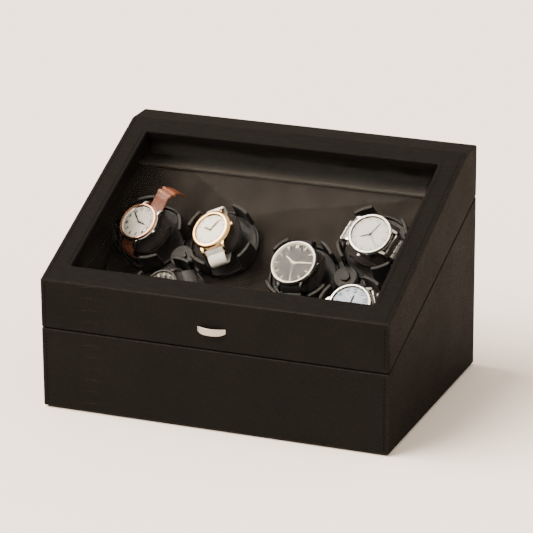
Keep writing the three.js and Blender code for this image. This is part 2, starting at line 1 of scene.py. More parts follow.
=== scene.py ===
"""Visual model of a six-place watch winder.

It is a leather box with a hinged window lid, two turning tables of cushions, and the watches on them.

Sizes are written in millimetres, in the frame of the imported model, and become metres when a piece is made.
"""

import functools
import logging
import math
from collections.abc import Callable, Iterable, Sequence
from dataclasses import dataclass, field, replace
from enum import Enum

import bmesh
import bpy
from mathutils import Matrix, Vector
from mathutils.bvhtree import BVHTree
from mathutils.interpolate import poly_3d_calc


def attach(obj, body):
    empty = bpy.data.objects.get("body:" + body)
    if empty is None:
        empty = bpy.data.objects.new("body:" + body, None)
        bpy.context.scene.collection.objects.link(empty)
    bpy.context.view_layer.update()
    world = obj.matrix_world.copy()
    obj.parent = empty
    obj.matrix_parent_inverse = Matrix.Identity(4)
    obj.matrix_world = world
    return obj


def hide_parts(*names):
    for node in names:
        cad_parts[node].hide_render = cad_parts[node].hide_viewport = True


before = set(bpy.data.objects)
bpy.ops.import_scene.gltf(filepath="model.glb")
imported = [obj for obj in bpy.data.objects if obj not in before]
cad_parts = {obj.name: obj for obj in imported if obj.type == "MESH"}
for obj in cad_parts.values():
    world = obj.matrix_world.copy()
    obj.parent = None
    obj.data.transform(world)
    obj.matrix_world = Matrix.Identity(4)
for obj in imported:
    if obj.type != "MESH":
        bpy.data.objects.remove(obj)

log = logging.getLogger("winder")
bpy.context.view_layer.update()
MM = 0.001
Colour = tuple[float, float, float]
Point = Sequence[float]


def tone(red: int, green: int, blue: int) -> Colour:
    """Linear colour of a display colour given in steps of 255."""
    steps = [value / 255 for value in (red, green, blue)]
    return tuple(s / 12.92 if s <= 0.04045 else ((s + 0.055) / 1.055) ** 2.4 for s in steps)


def scaled(colour: Colour, factor: float) -> Colour:
    """The colour, lighter or darker by a factor."""
    return tuple(channel * factor for channel in colour)


def in_metres(place: Matrix) -> Matrix:
    """An object's matrix, from a place in millimetres."""
    return Matrix.Translation(place.to_translation() * MM) @ place.to_3x3().to_4x4()


def linked(name: str, data: bpy.types.ID) -> bpy.types.Object:
    """Makes an object of the data and puts it in the scene.

    Args:
        name: Name of the object.
        data: Its mesh, lamp, camera or text.

    Returns:
        The object.
    """
    made = bpy.data.objects.new(name, data)
    bpy.context.scene.collection.objects.link(made)
    return made


def evaluated(held: bpy.types.Object) -> bpy.types.Mesh:
    """A new mesh of the object, with its modifiers applied."""
    return bpy.data.meshes.new_from_object(held.evaluated_get(bpy.context.evaluated_depsgraph_get()))


# ---- Material building ----
class Signal:
    """A number, vector or colour on its way through one material. Arithmetic on it adds Math nodes."""

    def __init__(self, shade: "Shade", socket: bpy.types.NodeSocket) -> None:
        """Keeps the material and the output socket that the value comes from."""
        self.shade = shade
        self.socket = socket

    def __add__(self, other: "Signal | float") -> "Signal":
        """Sum with a number or another signal."""
        return self.shade.math("ADD", self, other)

    def __sub__(self, other: "Signal | float") -> "Signal":
        """What is left after the other is taken off."""
        return self.shade.math("SUBTRACT", self, other)

    def __rsub__(self, other: float) -> "Signal":
        """A number less this signal."""
        return self.shade.math("SUBTRACT", other, self)

    def __mul__(self, other: "Signal | float") -> "Signal":
        """Product with a number or another signal."""
        return self.shade.math("MULTIPLY", self, other)

    def __truediv__(self, other: "Signal | float") -> "Signal":
        """Quotient by a number or another signal."""
        return self.shade.math("DIVIDE", self, other)

    def __rtruediv__(self, other: float) -> "Signal":
        """A number divided by this signal."""
        return self.shade.math("DIVIDE", other, self)

    def __pow__(self, other: "Signal | float") -> "Signal":
        """Power of this signal."""
        return self.shade.math("POWER", self, other)

    __radd__ = __add__
    __rmul__ = __mul__

    def output(self, name: str) -> "Signal":
        """Another output of the same node."""
        return Signal(self.shade, self.socket.node.outputs[name])

    def step(self, low: float, high: float) -> "Signal":
        """Rises smoothly from 0 at low to 1 at high, or falls where low is the larger.

        Args:
            low: Value that gives 0.
            high: Value that gives 1.

        Returns:
            The new signal.
        """
        limits = {"From Min": low, "From Max": high, "To Min": 0.0, "To Max": 1.0}
        return self.shade.node(
            "ShaderNodeMapRange", {"interpolation_type": "SMOOTHSTEP"}, {"Value": self, **limits}
        )


class Shade:
    """The node tree of one material."""

    def __init__(self, name: str) -> None:
        """Makes an empty material.

        Args:
            name: Name of the material.
        """
        self.material = bpy.data.materials.new(name)
        self.material.use_nodes = True
        self.tree = self.material.node_tree
        self.tree.nodes.clear()

    def node(self, kind: str, settings: dict, inputs: dict, output: str | int = 0) -> Signal:
        """Adds one node.

        Args:
            kind: Blender's type name of the node.
            settings: Its options, or the stops of a ramp, which are set first.
            inputs: Values or signals for its sockets, by name or place.
            output: The output that is returned.

        Returns:
            The signal from that output.
        """
        made = self.tree.nodes.new(kind)
        for key, value in settings.items():
            if key == "stops":
                self._set_stops(made.color_ramp, value)
            else:
                setattr(made, key, value)
        for key, value in inputs.items():
            self._feed(made.inputs[key], value)
        return Signal(self, made.outputs[output])

    def _set_stops(self, ramp: bpy.types.ColorRamp, stops: Sequence[tuple[float, Colour]]) -> None:
        """Gives a ramp its stops.

        Args:
            ramp: The ramp.
            stops: Position and colour of each stop.
        """
        while len(ramp.elements) < len(stops):
            ramp.elements.new(0.5)
        for element, (position, colour) in zip(ramp.elements, stops):
            element.position = position
            element.color = (*colour, 1.0)

    def _feed(self, socket: bpy.types.NodeSocket, value: object) -> None:
        """Links a signal into a socket, or sets the socket's own value.

        Args:
            socket: The input socket.
            value: A signal, or a plain value.
        """
        if isinstance(value, Signal):
            self.tree.links.new(value.socket, socket)
        elif socket.type == "RGBA" and len(value) == 3:
            socket.default_value = (*value, 1.0)
        else:
            socket.default_value = value

    def math(self, operation: str, *values: Signal | float) -> Signal:
        """Result of one Math node."""
        return self.node("ShaderNodeMath", {"operation": operation}, dict(enumerate(values)))

    def place(self) -> Signal:
        """The point on the piece, in millimetres in the piece's own axes."""
        point = self.node("ShaderNodeTexCoord", {}, {}, "Object")
        return self.node("ShaderNodeVectorMath", {"operation": "SCALE"}, {0: point, "Scale": 1000.0})

    def stretched(self, point: Signal, factors: Point) -> Signal:
        """The point with each axis multiplied by its own factor."""
        return self.node("ShaderNodeVectorMath", {"operation": "MULTIPLY"}, {0: point, 1: factors})

    def noise(self, point: Signal, size: float, detail: float = 2.0, roughness: float = 0.5) -> Signal:
        """Soft mottling, from 0 to 1, with patches about as large as size."""
        sockets = {"Vector": point, "Scale": 1.0 / size, "Detail": detail, "Roughness": roughness}
        return self.node("ShaderNodeTexNoise", {}, sockets, "Fac")

    def cells(self, point: Signal, size: float, feature: str = "F1") -> Signal:
        """Distance in a scatter of cells about as large as size.

        Args:
            point: The point on the piece.
            size: Size of a cell.
            feature: Blender's name of the measure.

        Returns:
            The distance.
        """
        return self.node(
            "ShaderNodeTexVoronoi", {"feature": feature}, {"Vector": point, "Scale": 1.0 / size}, "Distance"
        )

    def axes(self, point: Signal) -> Signal:
        """The three numbers of a vector, as outputs X, Y and Z."""
        return self.node("ShaderNodeSeparateXYZ", {}, {0: point})

    def wear(self) -> Signal:
        """How much rubbing and painted highlight the surface has here, 1 along the piece's edges."""
        return self.node("ShaderNodeAttribute", {"attribute_name": "wear"}, {}, "Fac")

    def blend(self, factor: Signal | float, first: Signal | Colour, second: Signal | Colour) -> Signal:
        """Colour between two colours.

        Args:
            factor: Share of the second colour.
            first: Colour at 0.
            second: Colour at 1.

        Returns:
            The colour.
        """
        return self.node(
            "ShaderNodeMix", {"data_type": "RGBA"}, {"Factor": factor, 6: first, 7: second}, 2
        )

    def mottled(self, factor: Signal | float, colour: Colour, low: float, high: float) -> Signal:
        """Colour between a darker and a lighter strength of one colour."""
        return self.blend(factor, scaled(colour, low), scaled(colour, high))

    def bump(self, height: Signal, depth: float) -> Signal:
        """Normal of a surface that rises by depth, in millimetres, where height goes from 0 to 1."""
        return self.node("ShaderNodeBump", {}, {"Height": height, "Distance": depth * MM}, "Normal")

    def surface(
        self, colour: Signal | Colour, roughness: Signal | float, **sockets: object
    ) -> bpy.types.Material:
        """Ends the material in one Principled shader.

        Args:
            colour: Base colour.
            roughness: Roughness.
            sockets: Other sockets, with underscores for the spaces in their names.

        Returns:
            The finished material.
        """
        named = {key.replace("_", " "): value for key, value in sockets.items()}
        shader = self.node(
            "ShaderNodeBsdfPrincipled", {}, {"Base Color": colour, "Roughness": roughness, **named}
        )
        return self.ends_in(shader)

    def ends_in(self, shader: Signal) -> bpy.types.Material:
        """Makes a shader the material's surface and returns the material.

        Args:
            shader: The shader.

        Returns:
            The finished material.
        """
        end = self.tree.nodes.new("ShaderNodeOutputMaterial")
        self.tree.links.new(shader.socket, end.inputs["Surface"])
        return self.material


@dataclass(frozen=True)
class Finish:
    """A surface finish, which makes its material once."""

    name: str

    @functools.cache
    def material(self) -> bpy.types.Material:
        """The finish's material."""
        return self.shaded(Shade(self.name))

    def shaded(self, shade: Shade) -> bpy.types.Material:
        """Builds the nodes of the material and returns it."""
        raise NotImplementedError


@dataclass(frozen=True)
class Leather(Finish):
    """Box leather with pebbles, creases that run one way, and paler edges from rubbing and a painted
    highlight.
    """

    colour: Colour = (0.02, 0.018, 0.016)
    # paler colour along the edges, for rubbing and a painted highlight; the pressed marks also take it
    rubbed: Colour = (0.035, 0.03, 0.026)
    creases: tuple[float, float, float] = (0.12, 1.0, 1.0)  # low along the axis that the creases follow
    crease_size: float = 1.8
    pebble: float = 1.25
    depth: float = 0.22
    crease_share: float = 0.8
    roughness: float = 0.46
    gloss: float = 0.03
    pressed: bool = False  # a column of short marks, pressed in near the left edge
    pressed_x: float = -120.0
    pressed_pitch: float = 11.4

    def shaded(self, shade: Shade) -> bpy.types.Material:
        """Builds the material.

        Args:
            shade: The empty node tree.

        Returns:
            The material.
        """
        point = shade.place()
        pebbles = shade.cells(point, self.pebble, "SMOOTH_F1").step(0.05, 0.75)
        fibres = shade.stretched(point, self.creases)
        creases = shade.noise(fibres, self.crease_size, 3.0, 0.62).step(0.4, 0.66)
        drift = shade.noise(point, 38.0, 2.0).step(0.32, 0.7)
        flecks = shade.noise(fibres, self.crease_size * 0.6, 1.0).step(0.5, 0.72)
        # paler edges: rubbing and a painted highlight where the rounded edges catch light
        edge = shade.wear() * shade.noise(fibres, 3.0, 3.0, 0.7).step(0.3, 0.62)
        body = shade.mottled(drift * 0.3 + creases * 0.4, self.colour, 0.8, 1.3)
        body = shade.blend(flecks * 0.25, body, scaled(self.colour, 1.9))
        body = shade.blend(edge * 0.5, body, self.rubbed)
        if self.pressed:
            body = shade.blend(self._pressed(shade, point) * 0.4, body, self.rubbed)
        relief = (1 - pebbles) * 0.55 + creases * self.crease_share + shade.noise(point, 0.5, 1.0) * 0.15
        gloss = self.roughness + pebbles * 0.12 - edge * 0.08 + drift * 0.05
        normal = shade.bump(relief, self.depth)
        return shade.surface(body, gloss, Normal=normal, Specular_IOR_Level=self.gloss)

    def _pressed(self, shade: Shade, point: Signal) -> Signal:
        """Short, slightly bowed marks one above the other.

        Args:
            shade: The node tree.
            point: The point on the piece.

        Returns:
            How marked the leather is, from 0 to 1.
        """
        axes = shade.axes(point)
        across = shade.math("ABSOLUTE", axes.output("X") - self.pressed_x)
        height = axes.output("Z") + across * across * 0.02 + shade.noise(point, 9.0, 2.0) * 1.5
        wave = shade.math("SINE", height * (math.pi / self.pressed_pitch))
        line = shade.math("ABSOLUTE", wave).step(0.1, 0.02)
        return line * across.step(9.5, 6.0) * shade.noise(point, 1.6, 2.0).step(0.35, 0.6)


@dataclass(frozen=True)
class Nap(Finish):
    """Suede, felt or velvet: a matt pile with brushed patches and a soft sheen."""

    colour: Colour
    fibre: float = 0.5
    patch: float = 14.0
    sheen: float = 0.35
    contrast: float = 0.45
    # colour where edges are marked: rubbing, and on the ledge a painted highlight along its front edge
    edge: Colour = (0.1, 0.09, 0.08)

    def shaded(self, shade: Shade) -> bpy.types.Material:
        """Builds the material.

        Args:
            shade: The empty node tree.

        Returns:
            The material.
        """
        point = shade.place()
        fibres = shade.noise(point, self.fibre, 3.0, 0.7)
        patches = shade.noise(point, self.patch, 3.0, 0.55).step(0.3, 0.7)
        spread = patches * 0.6 + fibres * 0.4
        pile = shade.mottled(spread, self.colour, 1 - self.contrast, 1 + self.contrast)
        # paler along marked edges: on the ledge, a painted highlight
        pile = shade.blend(shade.wear() * 0.7, pile, self.edge)
        return shade.surface(
            pile, 0.88 + fibres * 0.1, Normal=shade.bump(fibres, 0.16), Sheen_Weight=self.sheen,
            Sheen_Roughness=0.45, Sheen_Tint=(0.8, 0.72, 0.66, 1.0), Specular_IOR_Level=0.05,
        )


@dataclass(frozen=True)
class Moulding(Finish):
    """Moulded plastic or rubber, glossy or satin, with faint waviness and handling marks."""

    colour: Colour
    roughness: float = 0.4
    coat: float = 0.0
    grain: float = 0.04  # depth of the moulded texture
    gloss: float = 0.5

    def shaded(self, shade: Shade) -> bpy.types.Material:
        """Builds the material.

        Args:
            shade: The empty node tree.

        Returns:
            The material.
        """
        point = shade.place()
        marks = shade.noise(shade.stretched(point, (1.0, 0.3, 1.0)), 2.2, 4.0, 0.7).step(0.45, 0.8)
        cloud = shade.noise(point, 16.0, 2.0)
        colour = shade.mottled(cloud, self.colour, 0.85, 1.18)
        # paler where edges are marked for rubbing and a painted highlight
        colour = shade.blend(shade.wear() * 0.3, colour, scaled(self.colour, 2.4))
        relief = shade.noise(point, 0.45, 2.0) * 0.7 + cloud * 0.3
        return shade.surface(
            colour, self.roughness + marks * 0.1 + cloud * 0.04,
            Normal=shade.bump(relief, self.grain), Coat_Weight=self.coat, Coat_Roughness=0.06,
            Specular_IOR_Level=self.gloss,
        )


@dataclass(frozen=True)
class Metal(Finish):
    """Metal with a polish or with brush lines along one axis."""

    colour: Colour
    roughness: float = 0.18
    brush: tuple[float, float, float] = (1.0, 1.0, 1.0)  # low along the brush lines
    brushing: float = 0.0

    def shaded(self, shade: Shade) -> bpy.types.Material:
        """Builds the material.

        Args:
            shade: The empty node tree.

        Returns:
            The material.
        """
        point = shade.place()
        lines = shade.noise(shade.stretched(point, self.brush), 0.22, 2.0, 0.6)
        smears = shade.noise(point, 6.0, 3.0, 0.6)
        colour = shade.mottled(smears, self.colour, 0.86, 1.04)
        return shade.surface(
            colour, self.roughness + smears * 0.08 + lines * self.brushing * 0.25, Metallic=1.0,
            Normal=shade.bump(lines * self.brushing + smears * 0.2, 0.02),
        )


@dataclass(frozen=True)
class Pane(Finish):
    """Clear glass, seen through, with a weak reflection that grows at shallow angles."""

    tint: Colour = (0.97, 0.975, 0.97)
    reflection: float = 0.5

    def shaded(self, shade: Shade) -> bpy.types.Material:
        """Builds the material.

        Args:
            shade: The empty node tree.

        Returns:
            The material.
        """
        clear = shade.node("ShaderNodeBsdfTransparent", {}, {"Color": self.tint})
        smears = shade.noise(shade.place(), 30.0, 3.0, 0.6)
        gloss = shade.node("ShaderNodeBsdfAnisotropic", {}, {"Color": (1.0, 1.0, 1.0), "Roughness": 0.03})
        tilt = shade.node("ShaderNodeLayerWeight", {}, {"Blend": 0.5}, "Facing")
        share = (tilt**4.0 * 0.9 + 0.02) * (self.reflection * 0.85 + smears * (self.reflection * 0.3))
        return shade.ends_in(shade.node("ShaderNodeMixShader", {}, {0: share, 1: clear, 2: gloss}))


@dataclass(frozen=True)
class StrapLeather(Finish):
    """Strap leather: fine and smooth, or stamped with rows of squarish scales."""

    colour: Colour
    stamp: float = 0.0  # how deep the scales are, 0 for smooth leather
    roughness: float = 0.42

    def shaded(self, shade: Shade) -> bpy.types.Material:
        """Builds the material.

        Args:
            shade: The empty node tree.

        Returns:
            The material.
        """
        point = shade.place()
        bent = shade.stretched(point, (0.62, 1.0, 0.0))
        grooves = shade.cells(bent, 2.1, "DISTANCE_TO_EDGE").step(0.02, 0.16)
        pores = shade.cells(point, 0.7, "SMOOTH_F1").step(0.1, 0.7)
        cloud = shade.noise(point, 7.0, 3.0, 0.6)
        colour = shade.mottled(cloud, self.colour, 0.78, 1.22)
        if self.stamp:
            colour = shade.blend(grooves, scaled(self.colour, 0.38), colour)
        relief = grooves * self.stamp + (1 - pores) * 0.25 + cloud * 0.2
        return shade.surface(
            colour, self.roughness + pores * 0.1,
            Normal=shade.bump(relief, 0.3 if self.stamp else 0.12), Specular_IOR_Level=0.5,
        )


@dataclass(frozen=True)
class DialFace(Finish):
    """Lacquered dial whose brushing fans out from its centre, with two opposite lighter sectors painted on
    as a reflection.
    """

    colour: Colour
    # strength of the brushing and of its painted reflection
    fan: float = 0.25
    rim: float = 0.85  # brightness at the edge, against the middle
    radius: float = 15.0
    gloss: float = 0.06
    roughness: float = 0.32

    def shaded(self, shade: Shade) -> bpy.types.Material:
        """Builds the material.

        Args:
            shade: The empty node tree.

        Returns:
            The material.
        """
        axes = shade.axes(shade.place())
        across, along = axes.output("X"), axes.output("Y")
        turn = shade.math("ARCTAN2", along, across)
        out = shade.math("SQRT", across * across + along * along) / self.radius
        sockets = {"W": turn, "Scale": 26.0, "Detail": 4.0}
        rays = shade.node("ShaderNodeTexNoise", {"noise_dimensions": "1D"}, sockets, "Fac")
        # two opposite lighter sectors: a painted reflection of the fanned brushing
        painted_reflection_sectors = shade.math("COSINE", turn * 2.0 + 0.9) * 0.5 + 0.5
        light = painted_reflection_sectors * self.fan + (rays - 0.5) * (self.fan * 1.2)
        colour = shade.mottled(light + 0.35, self.colour, 0.8, 1.12)
        colour = shade.blend(out.step(0.72, 1.02), colour, scaled(self.colour, self.rim))
        return shade.surface(colour, self.roughness + rays * 0.12, Specular_IOR_Level=self.gloss)


@dataclass(frozen=True)
class Ground(Finish):
    """The plain pale surface under the box."""

    colour: Colour

    def shaded(self, shade: Shade) -> bpy.types.Material:
        """Builds the material.

        Args:
            shade: The empty node tree.

        Returns:
            The material.
        """
        drift = shade.noise(shade.place(), 900.0, 1.0)
        colour = shade.mottled(drift, self.colour, 0.985, 1.015)
        return shade.surface(colour, 0.7, Specular_IOR_Level=0.15)


class Finishes:
    """Every finish on the winder."""

    # One leather, given a different colour on each face as painted light and shade: SIDE lighter, SLOPE and
    # TOP darker than BACK and FRONT.
    BACK = Leather("leather_back", (0.0054, 0.0049, 0.0043), creases=(0.5, 1.0, 0.9), crease_size=1.3)
    FRONT = replace(BACK, name="leather_front", pressed=True)
    SIDE = Leather(
        "leather_side_painted_lighter", (0.0064, 0.0053, 0.0043), creases=(1.0, 1.0, 0.65), crease_size=1.6,
        crease_share=1.1, gloss=0.012,
    )
    SLOPE = Leather("leather_slope_painted_darker", (0.0046, 0.004, 0.0035), creases=(0.2, 1.0, 1.0), crease_size=2.2)
    TOP = Leather("leather_top_painted_darker", (0.0036, 0.0029, 0.0024), creases=(0.3, 1.0, 1.0), gloss=0.02)
    # LINING and LEDGE are the deck suede darkened as painted shade; LEDGE's far paler edge colour is a
    # painted highlight along its front edge.
    LINING = Nap("lining", (0.013, 0.011, 0.0093), patch=30.0, sheen=0.02)
    LEDGE = Nap("ledge_suede", (0.0042, 0.0036, 0.003), patch=24.0, sheen=0.0, edge=(0.05, 0.043, 0.037))
    SUEDE = Nap("deck_suede", (0.017, 0.0143, 0.0122), patch=24.0, sheen=0.02, edge=(0.06, 0.052, 0.045))
    FELT = Nap("underside_felt", tone(26, 24, 23), fibre=0.8)
    VELVET = Nap("cushion_velvet", (0.021, 0.0183, 0.0176), fibre=0.35, patch=7.0, sheen=0.08)
    THREAD = Nap("stitch_thread", (0.0011, 0.001, 0.0009), fibre=0.25, patch=2.0, sheen=0.0)
    WELT = Nap("cushion_welt", (0.03, 0.026, 0.0245), fibre=0.3, patch=3.0, sheen=0.05)
    GLOSS = Moulding("gloss_black_moulding", (0.0115, 0.0103, 0.0096), 0.3, 0.0, 0.02, 0.1)
    SATIN = Moulding("satin_black_moulding", (0.008, 0.0077, 0.0074), 0.42, 0.0, 0.04, 0.14)
    KNOB = Moulding("knob_rubber", (0.01, 0.0095, 0.009), 0.55, 0.0, 0.06, 0.12)
    SEAL = Moulding("seal_rubber", (0.004, 0.004, 0.004), 0.6, 0.0, 0.04, 0.1)
    NYLON = Moulding("gear_nylon", tone(226, 221, 208), 0.45)
    BOARD = Moulding("circuit_board", tone(28, 82, 56), 0.4)
    PRINT = Moulding("pale_print", tone(200, 198, 192), 0.5)
    GLASS = Pane("window_glass", reflection=0.05)
    CRYSTAL = Pane("watch_crystal", reflection=0.12)
    STEEL = Metal("polished_steel", tone(214, 212, 208), 0.14)
    BRUSHED = Metal("brushed_steel", tone(176, 170, 162), 0.26, (0.06, 1.0, 1.0), 1.0)
    LINK = Metal("link_steel", tone(206, 205, 202), 0.2, (1.0, 0.08, 1.0), 0.7)
    GOLD = Metal("pale_gold", tone(231, 196, 142), 0.15)
    # Steel darkened as painted shade.
    SHADOWED = Metal("painted_shade_steel", (0.045, 0.042, 0.04), 0.3)
    ROSE = Metal("rose_gold", tone(214, 160, 128), 0.16)
    BRASS = Metal("pinion_brass", tone(190, 160, 92), 0.25, (1.0, 1.0, 0.1), 0.6)
    TAN = StrapLeather("tan_stamped_leather", (0.15, 0.038, 0.0125), 0.8)
    TAN_PALE = StrapLeather("tan_keeper_leather", (0.25, 0.08, 0.034), 0.3)
    WHITE = StrapLeather("white_strap_leather", tone(226, 221, 213))
    BLACK = StrapLeather("black_strap_leather", tone(26, 25, 26), 0.3)
    INK = Moulding("dark_ink", (0.012, 0.012, 0.013), 0.35, gloss=0.1)
    GILT = Moulding("gilt_ink", (0.13, 0.08, 0.03), 0.35, gloss=0.2)
    BLUE_INK = Moulding("blue_ink", (0.06, 0.085, 0.14), 0.35, gloss=0.1)
    LUME = Moulding("cream_lume", tone(228, 220, 196), 0.4)
    GROUND = Ground("studio_floor", (0.86, 0.79, 0.715))


# ---- Meshes ----
class Form:
    """A closed mesh in the making, in millimetres."""

    def __init__(self, mesh: bmesh.types.BMesh | None = None) -> None:
        """Starts empty, or from a mesh.

        Args:
            mesh: The mesh to go on with.
        """
        self.mesh = mesh or bmesh.new()

    def copy(self) -> "Form":
        """A second form of the same shape."""
        return Form(self.mesh.copy())

    def loft(self, rings: Iterable[Iterable[Point]], closed: bool = False) -> "Form":
        """Skins rings of points with the same number of points each.

        Args:
            rings: The rings, in order.
            closed: True joins the last ring to the first.

        Returns:
            The form.
        """
        rows = [[self.mesh.verts.new(point) for point in ring] for ring in rings]
        for low, high in zip(rows, rows[1:] + (rows[:1] if closed else [])):
            for i in range(len(low)):
                j = (i + 1) % len(low)
                self.mesh.faces.new((low[i], low[j], high[j], high[i]))
        if not closed:
            self.mesh.faces.new(tuple(reversed(rows[0])))
            self.mesh.faces.new(tuple(rows[-1]))
        return self

    def block(self, x: Point, y: Point, z: Point) -> "Form":
        """A rectangular block between two values on each axis."""
        corners = [(x[0], y[0]), (x[1], y[0]), (x[1], y[1]), (x[0], y[1])]
        return self.plate(corners, z[0], z[1])

    def plate(self, outline: Sequence[Point], low: float, high: float) -> "Form":
        """A flat outline in X and Y, thickened from one height to another."""
        return self.loft([[(x, y, z) for x, y in outline] for z in (low, high)])

    def turned(
        self, profile: Sequence[Point], sides: int = 48, closed: bool = False, flute: float = 0.0
    ) -> "Form":
        """A solid of revolution about Z.

        Args:
            profile: Radius and height of each point, going up.
            sides: Number of sides.
            closed: True for a ring, whose profile closes on itself.
            flute: How far every second corner of the outer points is drawn in.

        Returns:
            The form.
        """
        widest = max(radius for radius, _ in profile)
        rings = []
        for radius, height in profile:
            drawn = flute if radius > widest * 0.93 else 0.0
            ring = []
            for i in range(sides):
                angle = math.tau * i / sides
                reach = max(radius, 1e-4) - (drawn if i % 2 else 0.0)
                ring.append((reach * math.cos(angle), reach * math.sin(angle), height))
            rings.append(ring)
        self.loft(rings, closed)
        bmesh.ops.remove_doubles(self.mesh, verts=self.mesh.verts[:], dist=1e-3)
        return self

    def soften(
        self,
        width: float,
        steps: int = 2,
        over: float = 30.0,
        pick: Callable[[bmesh.types.BMEdge], bool] | None = None,
    ) -> "Form":
        """Rounds edges.

        Args:
            width: Width of the rounding.
            steps: Number of faces across it.
            over: Only edges that turn by more than this many degrees are rounded.
            pick: Says which edges are rounded, where not all are.

        Returns:
            The form.
        """
        self.face_out()
        edges = [
            edge
            for edge in self.mesh.edges
            if len(edge.link_faces) == 2
            and math.degrees(edge.calc_face_angle(0.0)) > over
            and (pick is None or pick(edge))
        ]
        bmesh.ops.bevel(
            self.mesh, geom=edges, offset=width, offset_type="OFFSET", segments=steps, profile=0.5,
            affect="EDGES", clamp_overlap=True,
        )
        return self

    def face_out(self) -> "Form":
        """Turns every face outwards."""
        bmesh.ops.recalc_face_normals(self.mesh, faces=self.mesh.faces[:])
        return self

    def moved(self, place: Matrix) -> "Form":
        """The form, moved by a matrix."""
        self.mesh.transform(place)
        return self

    def add(self, other: "Form", place: Matrix | None = None) -> "Form":
        """Takes in another form's bodies.

        Args:
            other: The other form, which is used up.
            place: Where it goes.

        Returns:
            The form.
        """
        mesh = bpy.data.meshes.new("joined")
        other.face_out().mesh.to_mesh(mesh)
        if place:
            mesh.transform(place)
        self.mesh.from_mesh(mesh)
        bpy.data.meshes.remove(mesh)
        other.mesh.free()
        return self

    def trim(self, normal: Vector, offset: float) -> None:
        """Cuts off what lies beyond a plane and closes the cut with a face of the second material.

        Args:
            normal: Direction out of what is kept.
            offset: The plane's distance from the origin.
        """
        whole = self.mesh.verts[:] + self.mesh.edges[:] + self.mesh.faces[:]
        made = bmesh.ops.bisect_plane(
            self.mesh, geom=whole, dist=1e-4, plane_co=normal * offset, plane_no=normal, clear_outer=True
        )
        rim = [part for part in made["geom_cut"] if isinstance(part, bmesh.types.BMEdge)]
        bmesh.ops.edgeloop_fill(self.mesh, edges=[edge for edge in rim if edge.is_boundary], mat_nr=1)

    def cut(self, tool: "Form", operation: str = "DIFFERENCE") -> "Form":
        """Subtracts another form, or joins or intersects it.

        Args:
            tool: The other form, which is used up.
            operation: DIFFERENCE, UNION or INTERSECT.

        Returns:
            The form.
        """
        blanks = []
        for form in (self, tool):
            mesh = bpy.data.meshes.new("blank")
            form.face_out().mesh.to_mesh(mesh)
            blanks.append(linked("blank", mesh))
        body, cutter = blanks
        modifier = body.modifiers.new("cut", "BOOLEAN")
        modifier.operation = operation
        modifier.solver = "EXACT"
        modifier.object = cutter
        bpy.context.view_layer.update()
        result = evaluated(body)
        self.mesh.clear()
        self.mesh.from_mesh(result)
        for blank in blanks:
            data = blank.data
            bpy.data.objects.remove(blank)
            bpy.data.meshes.remove(data)
        bpy.data.meshes.remove(result)
        tool.mesh.free()
        return self


def arc(radius: float, start: float, end: float, steps: int, centre: Point = (0.0, 0.0)) -> list[Point]:
    """Points along an arc, with its angles in degrees."""
    angles = [math.radians(start + (end - start) * i / steps) for i in range(steps + 1)]
    return [(centre[0] + radius * math.cos(a), centre[1] + radius * math.sin(a)) for a in angles]


def hoop(centre: Vector, across: Vector, up: Vector, count: int) -> list[Vector]:
    """Points round an ellipse, given its middle and its two half-axes."""
    turns = [math.tau * k / count for k in range(count)]
    return [centre + across * math.cos(angle) + up * math.sin(angle) for angle in turns]


def rounded(x: float, low: float, high: float, radius: float, steps: int = 4) -> list[Point]:
    """A rectangle from -x to x and from low to high, with round corners, counter-clockwise.

    Args:
        x: Half of the width.
        low: Lower edge.
        high: Upper edge.
        radius: Radius of the corners.
        steps: Faces across each corner.

    Returns:
        The outline's points.
    """
    corners = [(x, high, 0), (-x, high, 90), (-x, low, 180), (x, low, 270)]
    outline: list[Point] = []
    for cx, cy, start in corners:
        inside = (cx - math.copysign(radius, cx), cy - radius if cy == high else cy + radius)
        outline += arc(radius, start, start + 90, steps, inside)
    return outline


def turn(degrees: float, axis: str) -> Matrix:
    """Rotation matrix about a named axis."""
    return Matrix.Rotation(math.radians(degrees), 4, axis)


def shift(x: float, y: float, z: float) -> Matrix:
    """Translation matrix."""
    return Matrix.Translation((x, y, z))


